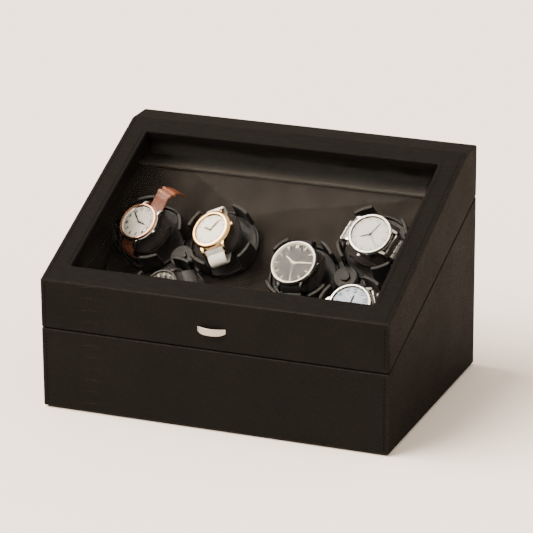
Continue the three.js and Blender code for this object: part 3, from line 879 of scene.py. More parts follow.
# ---- The bench, where pieces are finished ----
class Bench:
    """Makes Blender objects of the forms, dresses them, and says what each one rides on and stands for."""

    def __init__(self) -> None:
        """Starts with an empty list of pieces."""
        self.made: list[str] = []

    def piece(
        self,
        name: str,
        form: Form,
        finish: Finish,
        body: str,
        *,
        place: Matrix | None = None,
        nodes: Sequence[str] = (),
        slot: str | None = None,
        second: Finish | None = None,
        hull: "Hull | None" = None,
        sharp: float = 38.0,
        even: bool = True,
    ) -> bpy.types.Object:
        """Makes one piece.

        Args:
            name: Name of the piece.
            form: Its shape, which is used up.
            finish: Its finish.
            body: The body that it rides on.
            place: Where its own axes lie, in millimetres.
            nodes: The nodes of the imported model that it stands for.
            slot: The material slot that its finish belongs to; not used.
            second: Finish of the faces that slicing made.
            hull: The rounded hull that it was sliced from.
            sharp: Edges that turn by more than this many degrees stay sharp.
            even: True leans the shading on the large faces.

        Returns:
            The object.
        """
        form.face_out()
        mesh = bpy.data.meshes.new(name)
        form.mesh.to_mesh(mesh)
        form.mesh.free()
        mesh.shade_smooth()
        mesh.set_sharp_from_angle(angle=math.radians(sharp))
        if hull:
            hull.shade(mesh)
        mesh.transform(Matrix.Scale(MM, 4))
        mesh.materials.append(finish.material())
        if second:
            mesh.materials.append(second.material())
        made = linked(name, mesh)
        if place:
            made.matrix_world = in_metres(place)
        if even and not hull:
            weighted = made.modifiers.new("even_shading", "WEIGHTED_NORMAL")
            weighted.keep_sharp = True
        self.settle(made, body, nodes)
        return made

    def settle(self, made: bpy.types.Object, body: str, nodes: Sequence[str]) -> None:
        """Says what a finished object rides on and stands for.

        Args:
            made: The object.
            body: The body that it rides on.
            nodes: The nodes that it stands for.
        """
        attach(made, body)
        if nodes:
            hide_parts(*nodes)
        self.made.append(made.name)
        log.info("piece %s on %s, %d faces", made.name, body, len(made.data.polygons))

    def dress(self, node: str, finish: Finish, width: float = 0.25) -> None:
        """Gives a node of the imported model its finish, with its edges broken by a small bevel.

        Args:
            node: Name of the node.
            finish: Its finish.
            width: Width of the bevel.
        """
        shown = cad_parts[node]
        shown.data.materials.clear()
        shown.data.materials.append(finish.material())
        weld = shown.modifiers.new("weld", "WELD")
        weld.merge_threshold = 1e-6
        bevel = shown.modifiers.new("broken_edges", "BEVEL")
        bevel.width = width * MM
        bevel.segments = 2
        bevel.limit_method = "ANGLE"
        bevel.angle_limit = math.radians(40)
        log.info("dressed %s", node)


def mark_wear(mesh: bpy.types.Mesh, values: Sequence[float]) -> None:
    """Stores how much rubbing and painted highlight each vertex of a mesh has."""
    wear = mesh.attributes.new("wear", "FLOAT", "POINT")
    wear.data.foreach_set("value", list(values))


def flat_sides(node: str) -> list[tuple[Vector, float]]:
    """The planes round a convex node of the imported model, as normals and offsets in millimetres.

    Args:
        node: Name of the node.

    Returns:
        The planes, the largest first.
    """
    body = bmesh.new()
    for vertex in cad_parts[node].data.vertices:
        body.verts.new(vertex.co / MM)
    bmesh.ops.remove_doubles(body, verts=body.verts[:], dist=1e-3)
    bmesh.ops.convex_hull(body, input=body.verts[:])
    bmesh.ops.recalc_face_normals(body, faces=body.faces[:])
    planes: list[tuple[Vector, float]] = []
    for face in sorted(body.faces, key=lambda each: -each.calc_area()):
        normal = face.normal.copy()
        offset = normal.dot(face.verts[0].co)
        if all(normal.dot(n) < 0.9999 or abs(offset - d) > 0.08 for n, d in planes):
            planes.append((normal, offset))
    body.free()
    return planes


# ---- Case: leather panels sliced from two rounded hulls ----
@dataclass
class Hull:
    """The rounded outer body of the base or the lid, from which its panels are sliced at their mitres."""

    profile: Sequence[Point]  # Y and Z round the side, counter-clockwise
    rim: tuple[int, int]  # the two profile points at the ends of the parting line
    half_width: float = 170.0
    corner: float = 1.9
    # how much rubbing and painted highlight is kept along the parting line
    rim_wear: float = 0.0
    rim_round: float = 1.3
    form: Form = field(init=False)
    sides: list[tuple[Vector, float]] = field(init=False)
    parting: tuple[Vector, Vector] = field(init=False)  # a point of the parting plane, and its normal
    tree: BVHTree = field(init=False)
    normals: dict[int, Vector] = field(init=False)

    def __post_init__(self) -> None:
        """Builds the rounded body."""
        ends = (-self.half_width, self.half_width)
        self.form = Form().loft([[(x, y, z) for y, z in self.profile] for x in ends])
        self.form.face_out()
        self.sides = [(f.normal.copy(), f.normal.dot(f.verts[0].co)) for f in self.form.mesh.faces]
        first, last = (Vector((0, *self.profile[i])) for i in self.rim)
        along = (last - first).normalized()
        normal = Vector((0, along.z, -along.y))
        self.parting = (first, normal)

        def on_rim(edge: bmesh.types.BMEdge) -> bool:
            """Whether an edge lies round the parting line."""
            return all(abs(normal.dot(vertex.co - first)) < 1e-3 for vertex in edge.verts)

        self.form.soften(self.corner, 6, 10.0, lambda edge: not on_rim(edge))
        self.form.soften(self.rim_round, 4, 20.0, on_rim)
        self.form.mesh.faces.ensure_lookup_table()
        bmesh.ops.triangulate(self.form.mesh, faces=[f for f in self.form.mesh.faces if len(f.verts) > 4])
        self.tree = BVHTree.FromBMesh(self.form.mesh)
        self.normals = self._corner_normals()

    def _corner_normals(self) -> dict[int, Vector]:
        """Normals of the hull's vertices, led by the large faces.

        Returns:
            The normals, by the vertex's number.
        """
        self.form.mesh.verts.ensure_lookup_table()
        self.form.mesh.faces.ensure_lookup_table()
        normals = {}
        for vertex in self.form.mesh.verts:
            total = Vector()
            for face in vertex.link_faces:
                total += face.normal * face.calc_area()
            normals[vertex.index] = total.normalized()
        return normals

    def normal_at(self, point: Vector) -> Vector | None:
        """The hull's smooth normal at a point of its surface, or None for a point inside it.

        Args:
            point: The point.

        Returns:
            The normal, or None inside the hull.
        """
        found, _, index, distance = self.tree.find_nearest(point)
        if found is None or distance > 0.02:
            return None
        vertices = self.form.mesh.faces[index].verts
        weights = poly_3d_calc([vertex.co for vertex in vertices], found)
        total = Vector()
        for vertex, weight in zip(vertices, weights):
            total += self.normals[vertex.index] * weight
        return total.normalized()

    def slice(self, node: str) -> Form:
        """The part of the hull that a panel takes up.

        Args:
            node: Name of the node.

        Returns:
            The panel's shape.
        """
        panel = self.form.copy()
        for normal, offset in flat_sides(node):
            outer = any(normal.dot(n) > 0.999 and abs(offset - d) < 0.4 for n, d in self.sides)
            if not outer:
                panel.trim(normal, offset)
        return panel

    def shade(self, mesh: bpy.types.Mesh) -> None:
        """Gives a panel the hull's smooth normals, so that mitres don't show, and marks its rounded edges
        for rubbing and a painted highlight.

        Args:
            mesh: The panel's mesh.
        """
        at_vertex = [self.normal_at(vertex.co) for vertex in mesh.vertices]
        normals = [corner.vector.copy() for corner in mesh.corner_normals]
        for polygon in mesh.polygons:
            for loop in polygon.loop_indices:
                normal = at_vertex[mesh.loops[loop].vertex_index]
                if normal and polygon.normal.dot(normal) > 0.86:
                    normals[loop] = normal
        mesh.normals_split_custom_set(normals)
        # rubbing and painted highlight on each vertex, growing where the rounded edges turn away from the
        # flat sides
        wear_and_highlight_shares = []
        first, across = self.parting
        for vertex, normal in zip(mesh.vertices, at_vertex):
            turned_away = 1 - max(normal.dot(n) for n, _ in self.sides) if normal else 0.0
            parted = abs(across.dot(vertex.co - first)) < self.rim_round + 0.2
            share = max(0.0, min(1.0, turned_away / 0.2)) ** 2
            wear_and_highlight_shares.append(share * self.rim_wear if parted else share)
        mark_wear(mesh, wear_and_highlight_shares)


@dataclass
class Stitching:
    """Saddle stitches along straight runs."""

    pitch: float = 3.8
    length: float = 2.7
    width: float = 0.95
    rise: float = 0.24
    margin: float = 4.6  # from the edge of the leather

    def run(self, form: Form, start: Point, end: Point, up: Point) -> None:
        """Adds the stitches between two points of a flat face.

        Args:
            form: Takes the stitches.
            start: Start of the run.
            end: End of the run.
            up: Direction out of the face.
        """
        first, last, out = Vector(start), Vector(end), Vector(up).normalized()
        along = (last - first).normalized()
        aside = along.cross(out)
        count = int((last - first).length // self.pitch)
        slack = ((last - first).length - count * self.pitch) / 2
        for i in range(count):
            middle = first + along * (slack + (i + 0.5) * self.pitch)
            rings = []
            for share, girth in ((-0.5, 0.3), (-0.42, 0.8), (0.0, 1.0), (0.42, 0.8), (0.5, 0.3)):
                centre = middle + along * (share * self.length) + out * ((girth - 1) * self.rise)
                rings.append(hoop(centre, aside * (self.width / 2 * girth), out * self.rise, 8))
            form.loft(rings)


@dataclass
class Case:
    """The leather box: base, lid and the window frame in the lid's slope."""

    width: float = 340.0
    depth: float = 245.0
    height: float = 220.5
    front_height: float = 126.1
    top_depth: float = 29.7
    split: tuple[float, float] = (78.7, 170.5)
    gap: float = 1.3
    felt: float = 1.5
    window_side: float = 22.8
    window_top: float = 18.8
    window_bottom: float = 23.0
    rebate_depth: float = 9.5
    rebate: float = 6.0
    window_round: float = 1.7
    window_stitch: float = 4.4  # from the window's edge
    stitching: Stitching = field(default_factory=Stitching)
    base: Hull = field(init=False)
    lid: Hull = field(init=False)
    slope_length: float = field(init=False)
    slope: Matrix = field(init=False)  # the slope's axes, with Z out of it

    def __post_init__(self) -> None:
        """Works out the hulls and the slope's axes."""
        half = self.depth / 2
        low, high = self.split
        lift = self.gap / 2
        base_side = [(-half, self.felt), (half, self.felt), (half, high - lift), (-half, low - lift)]
        # the base keeps most of the painted highlight and rubbing along its parting line
        self.base = Hull(base_side, (3, 2), rim_wear=0.9)
        lid_side = [(-half, low + lift), (half, high + lift), (half, self.height)]
        lid_side += [(half - self.top_depth, self.height), (-half, self.front_height)]
        self.lid = Hull(lid_side, (0, 1))
        rise, run = self.height - self.front_height, self.depth - self.top_depth
        self.slope_length = math.hypot(rise, run)
        self.slope = shift(0, -half, self.front_height) @ Matrix.Rotation(math.atan2(rise, run), 4, "X")

    def build(self, bench: Bench) -> None:
        """Makes every panel and its stitching.

        Args:
            bench: Takes the pieces.
        """
        kinds = Finishes
        grains = {"front": kinds.FRONT, "back": kinds.BACK, "left": kinds.SIDE, "right": kinds.SIDE}
        for side, finish in grains.items():
            name = f"base_{side}_panel"
            panel = self.base.slice(name)
            if side == "back":
                panel.cut(Form().block((-54, 51), (100, 130), (37, 59)))
            self._leather(bench, name, panel, finish, "case", self.base)
        for side, finish in {**grains, "top": Finishes.TOP}.items():
            name = f"lid_{side}_panel"
            self._leather(bench, name, self.lid.slice(name), finish, "lid", self.lid)
        frame_panel = self.lid.slice("window_frame").cut(self._opening())
        self._leather(bench, "window_frame", frame_panel, Finishes.SLOPE, "lid", self.lid)
        self._stitch(bench)
        bench.dress("base_floor_panel", Finishes.LINING)
        bench.dress("base_felt", Finishes.FELT)
        bench.dress("glass_pane", Finishes.GLASS, 0.2)
        bench.dress("glazing_seal", Finishes.SEAL)

    def _leather(self, bench: Bench, name: str, panel: Form, finish: Finish, body: str, hull: Hull) -> None:
        """Makes one leather panel with a lined inside."""
        dressing = {"slot": "leather_panel", "second": Finishes.LINING, "hull": hull}
        bench.piece(name + "_leather", panel, finish, body, nodes=[name], **dressing)

    def _opening(self) -> Form:
        """What is cut out of the slope: the window with a rounded upper edge, and the rebate under it.

        Returns:
            The cutter.
        """
        x = self.width / 2 - self.window_side
        low, high = self.window_bottom, self.slope_length - self.window_top
        steps = 6
        levels = [(1.5, self.window_round)]
        for i in range(steps + 1):
            angle = math.pi / 2 * (1 - i / steps)
            drop, grow = math.sin(angle) - 1, 1 - math.cos(angle)
            levels.append((self.window_round * drop, self.window_round * grow))
        levels += [(-self.rebate_depth, 0.0)]
        rings = []
        for z, grow in levels:
            outline = rounded(x + grow, low - grow, high + grow, 1.2 + grow)
            rings.append([(px, py, z) for px, py in outline])
        window = Form().loft(rings)
        under = rounded(x + self.rebate, low - self.rebate, high + self.rebate, 1.0)
        window.cut(Form().plate(under, -16.0, -self.rebate_depth), "UNION")
        return window.moved(self.slope)

    def _stitch(self, bench: Bench) -> None:
        """Runs the stitching down the front corners, along the slope and the window, and across the top.

        Args:
            bench: Takes the pieces.
        """
        half, front = self.width / 2 - self.stitching.margin, -self.depth / 2
        base, lid = Form(), Form()
        up_slope = self.slope.to_3x3() @ Vector((0, 0, 1))
        top_front, top = self.depth / 2 - self.top_depth, self.height - self.stitching.rise
        run, split = self.stitching.run, self.split[0]
        for side in (-1, 1):
            x = side * half
            inner = side * (self.width / 2 - self.window_side + self.window_stitch)
            run(base, (x, front, 5), (x, front, split - 3), (0, -1, 0))
            run(lid, (x, front, split + 3.4), (x, front, self.front_height - 3), (0, -1, 0))
            edges = ((x, 4, 3), (inner, self.window_bottom, self.window_top))
            for across, below, above in edges:
                ends = (below, self.slope_length - above)
                start, end = (self.slope @ Vector((across, v, 0)) for v in ends)
                run(lid, start, end, up_slope)
            run(lid, (x, top_front + 3, top), (x, self.depth / 2 - 4, top), (0, 0, 1))
        bench.piece("base_stitching", base, Finishes.THREAD, "case", even=False)
        bench.piece("lid_stitching", lid, Finishes.THREAD, "lid", even=False)


def screw() -> Form:
    """A low domed screw head with a cross recess, facing the back.

    Returns:
        The screw.
    """
    head = Form().turned([(0, -0.6), (2.1, -0.6), (2.1, 0.1), (1.7, 0.45), (0.9, 0.68), (0, 0.74)], 24)
    for angle in (0, 90):
        head.cut(Form().block((-1.2, 1.2), (-0.22, 0.22), (0.2, 2)).moved(turn(angle, "Z")))
    return head.moved(turn(-90, "X"))


@dataclass
class Fittings:
    """The metal on the outside: the pull, the hinges' leaves and pins, and their screws."""

    pull_width: float = 28.0
    pull_height: float = 6.6
    pull_out: float = 5.2
    pull_strip: float = 1.4
    pull_z: float = 98.0
    hinge_x: float = 95.0
    hinge_z: float = 170.5
    screw_step: float = 13.0
    front: float = -122.5
    back: float = 122.5

    def build(self, bench: Bench) -> None:
        """Makes the pull and the hinges' screws, and dresses the hinges.

        Args:
            bench: Takes the pieces.
        """
        bench.piece("pull_bow", self._pull(), Finishes.BRUSHED, "lid", nodes=["pull_tab"], slot="steel")
        for name in ("left", "right"):
            side = -1 if name == "left" else 1
            for leaf, body, reach in (("base", "case", -1), ("lid", "lid", 1)):
                bench.dress(f"hinge_{name}_{leaf}_leaf", Finishes.BRUSHED, 0.3)
                screws = Form()
                for step in (-1, 0, 1):
                    x = side * self.hinge_x + step * self.screw_step
                    screws.add(screw(), shift(x, self.back + 1.2, self.hinge_z + reach * self.screw_step))
                bench.piece(f"hinge_{name}_{leaf}_screws", screws, Finishes.STEEL, body, slot="steel")
            bench.dress(f"hinge_{name}_pin", Finishes.STEEL, 0.3)

    def _pull(self) -> Form:
        """A bowed strip whose lower edge rises towards its two ends.

        Returns:
            The strip.
        """
        half = self.pull_width / 2
        outer = (half**2 + self.pull_out**2) / (2 * self.pull_out)
        reach = math.degrees(math.asin(half / outer))
        form, rings, steps = Form(), [], 28
        for i in range(steps + 1):
            share = i / steps * 2 - 1
            angle = math.radians(share * reach)
            out = Vector((math.sin(angle), -math.cos(angle)))
            centre = Vector((0, self.front - self.pull_out + outer))
            inner_radius = outer - self.pull_strip
            far, near = centre + out * outer, centre + out * inner_radius
            near.y = min(near.y, self.front)
            z0 = self.pull_z - self.pull_height / 2 + 1.9 * abs(share) ** 4
            z1 = self.pull_z + self.pull_height / 2 - 0.3 * abs(share) ** 3
            rings.append([(*far, z0), (*far, z1), (*near, z1), (*near, z0)])
        return form.loft(rings).soften(0.35, 3, 50.0)


@dataclass
class Controls:
    """The plate on the back with two mode knobs, the power switch and the supply inlet."""

    z: float = 48.0
    back: float = 122.5
    plate: tuple[float, float, float] = (62.0, 19.0, 1.4)
    knobs: tuple[float, float] = (-42.0, -14.0)
    knob_radius: float = 9.0
    switch_x: float = 16.0
    jack_x: float = 42.0
    rock: float = 8.0
    print_levels: tuple[float, float] = (1.38, 1.46)

    def build(self, bench: Bench) -> None:
        """Makes the plate, its print and screws, the knobs, the rocker and the inlet.

        Args:
            bench: Takes the pieces.
        """
        facing = shift(0, self.back, self.z) @ turn(90, "X") @ Matrix.Diagonal((1, 1, -1, 1))
        half_width, half_height, thick = self.plate
        outline = rounded(half_width, -half_height, half_height, 3.0)
        plate = Form().plate(outline, 0.0, thick).soften(0.4, 2, 60)
        for x, radius in (*((knob, 3.2) for knob in self.knobs), (self.jack_x, 5.8)):
            plate.cut(Form().plate(arc(radius, 0, 345, 23, (x, 0)), -1, 3))
        plate.cut(Form().block((self.switch_x - 7.5, self.switch_x + 7.5), (-8, 8), (-1, 3)))
        black = {"slot": "black_plastic"}
        plate.moved(facing)
        bench.piece("control_plate_panel", plate, Finishes.SATIN, "case", nodes=["control_plate"], **black)
        bench.piece("control_plate_print", self._print().moved(facing), Finishes.PRINT, "case")
        screws = Form()
        for x in (-57, 57):
            for y in (-14.5, 14.5):
                screws.add(screw(), shift(x, self.back + thick, self.z + y))
        bench.piece("control_plate_screws", screws, Finishes.STEEL, "case", slot="steel")
        for x, name in zip(self.knobs, ("left", "right")):
            knob, pointer = self._knob(x)
            body, node = f"knob_{name}", f"mode_knob_{name}"
            bench.piece(f"{node}_grip", knob, Finishes.KNOB, body, nodes=[node], **black)
            bench.piece(f"{node}_pointer", pointer, Finishes.PRINT, body)
        cap = self._rocker()
        bench.piece("switch_rocker_cap", cap, Finishes.SATIN, "rocker", nodes=["switch_rocker"], **black)
        bench.dress("dc_jack", Finishes.SATIN, 0.3)
        bench.dress("control_board", Finishes.BOARD)

    def _print(self) -> Form:
        """Scales of ticks round the knobs, a polarity ring by the inlet and bars by the switch.

        Returns:
            The print.
        """
        form = Form()
        low, high = self.print_levels
        for x in self.knobs:
            for i in range(7):
                angle = -135 + 45 * i
                tick = Form().block((-0.25, 0.25), (11.0, 12.6 if i % 3 else 13.4), (low, high))
                form.add(tick.moved(shift(x, 0, 0) @ turn(-angle, "Z")))
        outer, inner = 1.3, 0.95
        for dx in (-1.8, 1.8):
            ring = Form().turned([(outer, low), (outer, high), (inner, high), (inner, low)], 24, True)
            form.add(ring, shift(self.jack_x + dx, 10.5, 0))
        form.add(Form().block((self.switch_x - 2.5, self.switch_x + 2.5), (11.4, 11.9), (low, high)))
        return form

    def _knob(self, x: float) -> tuple[Form, Form]:
        """A knurled knob on its stem, and the pointer line on its face.

        Args:
            x: The knob's place along the plate.

        Returns:
            The knob and its pointer.
        """
        radius = self.knob_radius
        shaft = Form().turned([(0, -9), (2.9, -9), (2.9, 2.4), (0, 2.4)], 24)
        profile = [(0, 1.7), (radius - 0.1, 1.7), (radius, 2.0), (radius - 0.4, 4.4)]
        profile += [(radius - 1.1, 5.05), (0, 5.2)]
        shaft.add(Form().turned(profile, 72, flute=0.35))
        pointer = Form().block((-0.45, 0.45), (2.2, radius - 1.6), (4.9, 5.19))
        facing = shift(x, self.back, self.z) @ turn(-90, "X")
        return shaft.moved(facing), pointer.moved(facing @ turn(180, "Z"))

    def _rocker(self) -> Form:
        """A rocker with a dished face, leaning to one side.

        Returns:
            The rocker.
        """
        dish = [(6.6 - 1.0 * (1 - (t / 6.5) ** 2), t) for t in (6.5, 4.3, 2.2, 0, -2.2, -4.3, -6.5)]
        profile = [(-4, 5), (-4, -5), (5, -6.5), *reversed(dish), (5, 6.5)]
        form = Form().loft([[(x, y, z) for y, z in profile] for x in (-7, 7)]).soften(0.35, 2, 40)
        return form.moved(shift(self.switch_x, self.back - 3, self.z) @ turn(self.rock, "X"))


# ---- Inside: deck, turntables and drives ----
@dataclass
class Deck:
    """The tilted deck, its front shelf and the ledge behind it."""

    tilt: float = 44.0
    y: float = 12.84
    z: float = 108.42
    up: float = 98.0
    ledge_front: float = 80.0
    ledge_thickness: float = 3.0
    ledge_step: float = 148.5  # where the ledge's back leg meets the rear wall
    ledge_top: float = 165.5
    inner_depth: float = 112.5
    inner_width: float = 160.0

    @property
    def place(self) -> Matrix:
        """The deck's axes, with Z out of its upper face."""
        return shift(0, self.y, self.z) @ turn(self.tilt, "X")

    def build(self, bench: Bench) -> None:
        """Dresses the deck and the shelf, and makes the ledge.

        Args:
            bench: Takes the pieces.
        """
        bench.dress("deck_panel", Finishes.SUEDE, 0.5)
        bench.dress("deck_front_shelf", Finishes.SUEDE, 0.5)
        under = self.z + self.up * math.sin(math.radians(self.tilt)) + 0.3
        top = under + self.ledge_thickness
        leg = self.inner_depth - 4
        profile = [
            (self.ledge_front, under), (leg, under), (leg, self.ledge_step),
            (self.inner_depth, self.ledge_step), (self.inner_depth, self.ledge_top - 1),
            (self.inner_depth - 1, self.ledge_top), (self.inner_depth - 1, top),
            (self.ledge_front, top),
        ]
        reach = self.inner_width - 1
        form = Form().loft([[(x, y, z) for y, z in profile] for x in (-reach, reach)])
        form.soften(0.9, 4, 50.0, lambda edge: all(v.co.y < self.ledge_front + 0.1 for v in edge.verts))
        standing_for = {"nodes": ["deck_ledge"], "slot": "suede"}
        made = bench.piece("deck_ledge_suede", form, Finishes.LEDGE, "case", **standing_for)
        # the ledge's front edge takes its finish's paler edge colour as a painted highlight
        highlight_lip = [(self.ledge_front + 1.6) * MM > v.co.y for v in made.data.vertices]
        mark_wear(made.data, [1.0 if near else 0.0 for near in highlight_lip])


@dataclass
class Turntable:
    """A three-cup turning table with four claws round each cup."""

    side: str
    deck: Deck
    places: Sequence["Place"]
    x: float = 82.0
    cup_radius: float = 34.2
    rim: float = 2.7
    base: float = 2.0
    floor: float = 6.0
    rim_top: float = 9.0
    claw_inner: float = 30.5
    claw_outer: float = 34.5
    claw_top: float = 28.0
    claw_span: float = 37.0
    hub: float = 12.0
    hub_top: float = 13.0
    socket: tuple[float, float] = (4.3, 10.3)  # radius and depth of the hole for the spindle
    nut: float = 5.2

    @property
    def place(self) -> Matrix:
        """The turntable's axes, with Z along its spindle."""
        return self.deck.place @ shift(-self.x if self.side == "left" else self.x, 0, 0)

    def build(self, bench: Bench) -> None:
        """Makes the cups, the claws and the hub, and dresses the drive under them.

        Args:
            bench: Takes the pieces.
        """
        body = f"rotor_{self.side}"
        plate = self._hub()
        claws = Form()
        for seat in self.places:
            plate.cut(self._cup().moved(seat.on_circle()), "UNION")
            for angle in (45, 135, 225, 315):
                claws.add(self._claw(seat.twelve + angle).moved(seat.on_circle()))
        nut = Form().plate(arc(self.nut, 0, 300, 5), self.hub_top - 0.4, self.hub_top + 2.2)
        nut.soften(0.5, 2, 40)
        table, black = f"turntable_{self.side}", {"place": self.place, "slot": "gloss_black"}
        bench.piece(f"{table}_cups", plate, Finishes.GLOSS, body, nodes=[table], **black)
        bench.piece(f"{table}_claws", claws, Finishes.GLOSS, body, **black)
        bench.piece(f"{table}_nut", nut, Finishes.GLOSS, body, **black)
        drive = (
            ("spindle", Finishes.STEEL, 0.2), ("drive_gear", Finishes.NYLON, 0.15),
            ("motor_pinion", Finishes.BRASS, 0.1), ("motor", Finishes.BRUSHED, 0.4),
            ("gearbox_housing", Finishes.SATIN, 0.4),
        )
        for part, finish, width in drive:
            bench.dress(f"{part}_{self.side}", finish, width)

    def _hub(self) -> Form:
        """The middle of the table, with the socket for the spindle.

        Returns:
            The hub.
        """
        profile = [(0, self.base), (20.7, self.base), (20.75, self.floor - 0.5), (20.2, self.floor)]
        profile += [(self.hub, self.floor), (self.hub, self.hub_top - 1.2), (self.hub - 1.2, self.hub_top)]
        form = Form().turned([*profile, (0, self.hub_top)], 48)
        wide, deep = self.socket
        return form.cut(Form().turned([(0, 0), (wide, 0), (wide, deep), (0, deep)], 24))

    def _cup(self) -> Form:
        """A shallow cup with a rounded rim.

        Returns:
            The cup.
        """
        out, rim, top = self.cup_radius, self.cup_radius - self.rim, self.rim_top
        profile = [
            (0, self.base), (out - 0.8, self.base), (out, self.base + 0.8), (out, top - 0.9),
            (out - 0.3, top - 0.25), (out - 0.9, top), (rim + 0.9, top), (rim + 0.25, top - 0.3),
            (rim, top - 0.9), (rim, self.floor + 1.4), (rim - 0.5, self.floor + 0.4),
            (rim - 1.6, self.floor), (0, self.floor),
        ]
        return Form().turned(profile, 64)

    def _claw(self, middle: float) -> Form:
        """One claw: a piece of a ring that leans in a little towards its flat, rounded top.

        Args:
            middle: Angle of its middle, in degrees.

        Returns:
            The claw.
        """
        half = self.claw_span / 2
        rings = []
        levels = [(self.floor - 0.8, 0.0, 0.0), (self.rim_top + 2, 0.0, 0.0), (self.claw_top, 0.35, 2.5)]
        for z, inset, narrow in levels:
            outer = arc(self.claw_outer - inset, middle - half + narrow, middle + half - narrow, 12)
            inner = arc(self.claw_inner + 0.2, middle + half - narrow, middle - half + narrow, 12)
            rings.append([(x, y, z) for x, y in [*outer, *inner]])
        return Form().loft(rings).soften(0.9, 3, 40.0)


# ---- Cushions and watches ----
class Band(Enum):
    """What holds a watch on its cushion."""

    STAMPED = "tan strap, laid open"
    SMOOTH = "white strap"
    PLAIN = "black strap"
    BRACELET = "steel links"


class Marks(Enum):
    """How a dial is marked."""

    NUMERALS = "numerals"
    BATONS = "broad batons"
    LINES = "thin batons"


class Hands(Enum):
    """Shape of the hands."""

    LEAF = "leaf"
    BATON = "baton"
    NEEDLE = "needle"


@dataclass(frozen=True)
class Place:
    """One place on a turntable, with its cushion and its watch."""

    number: int
    side: str
    cup: float  # angle of the cup on the table
    twelve: float  # the way that twelve o'clock points
    lean: float
    radius: float
    top: float
    width: float  # of the band
    band: Band
    cup_circle: float = 41.5
    cup_floor: float = 6.0
    lean_lift: float = 0.25  # for each degree of lean

    def on_circle(self) -> Matrix:
        """Moves the cup's middle from the table's axis to its place."""
        angle = math.radians(self.cup)
        return shift(self.cup_circle * math.cos(angle), self.cup_circle * math.sin(angle), 0)

    def seat(self, table: Matrix) -> Matrix:
        """The seat's axes: Y to twelve o'clock, X to three, Z out of the cup, from the deck's height.

        Args:
            table: The turntable's axes.

        Returns:
            The axes.
        """
        lift = self.cup_floor + self.lean_lift * self.lean
        leaning = table @ self.on_circle() @ shift(0, 0, lift) @ turn(-self.lean, "Y")
        return leaning @ shift(0, 0, -self.cup_floor) @ turn(self.twelve - 90, "Z")


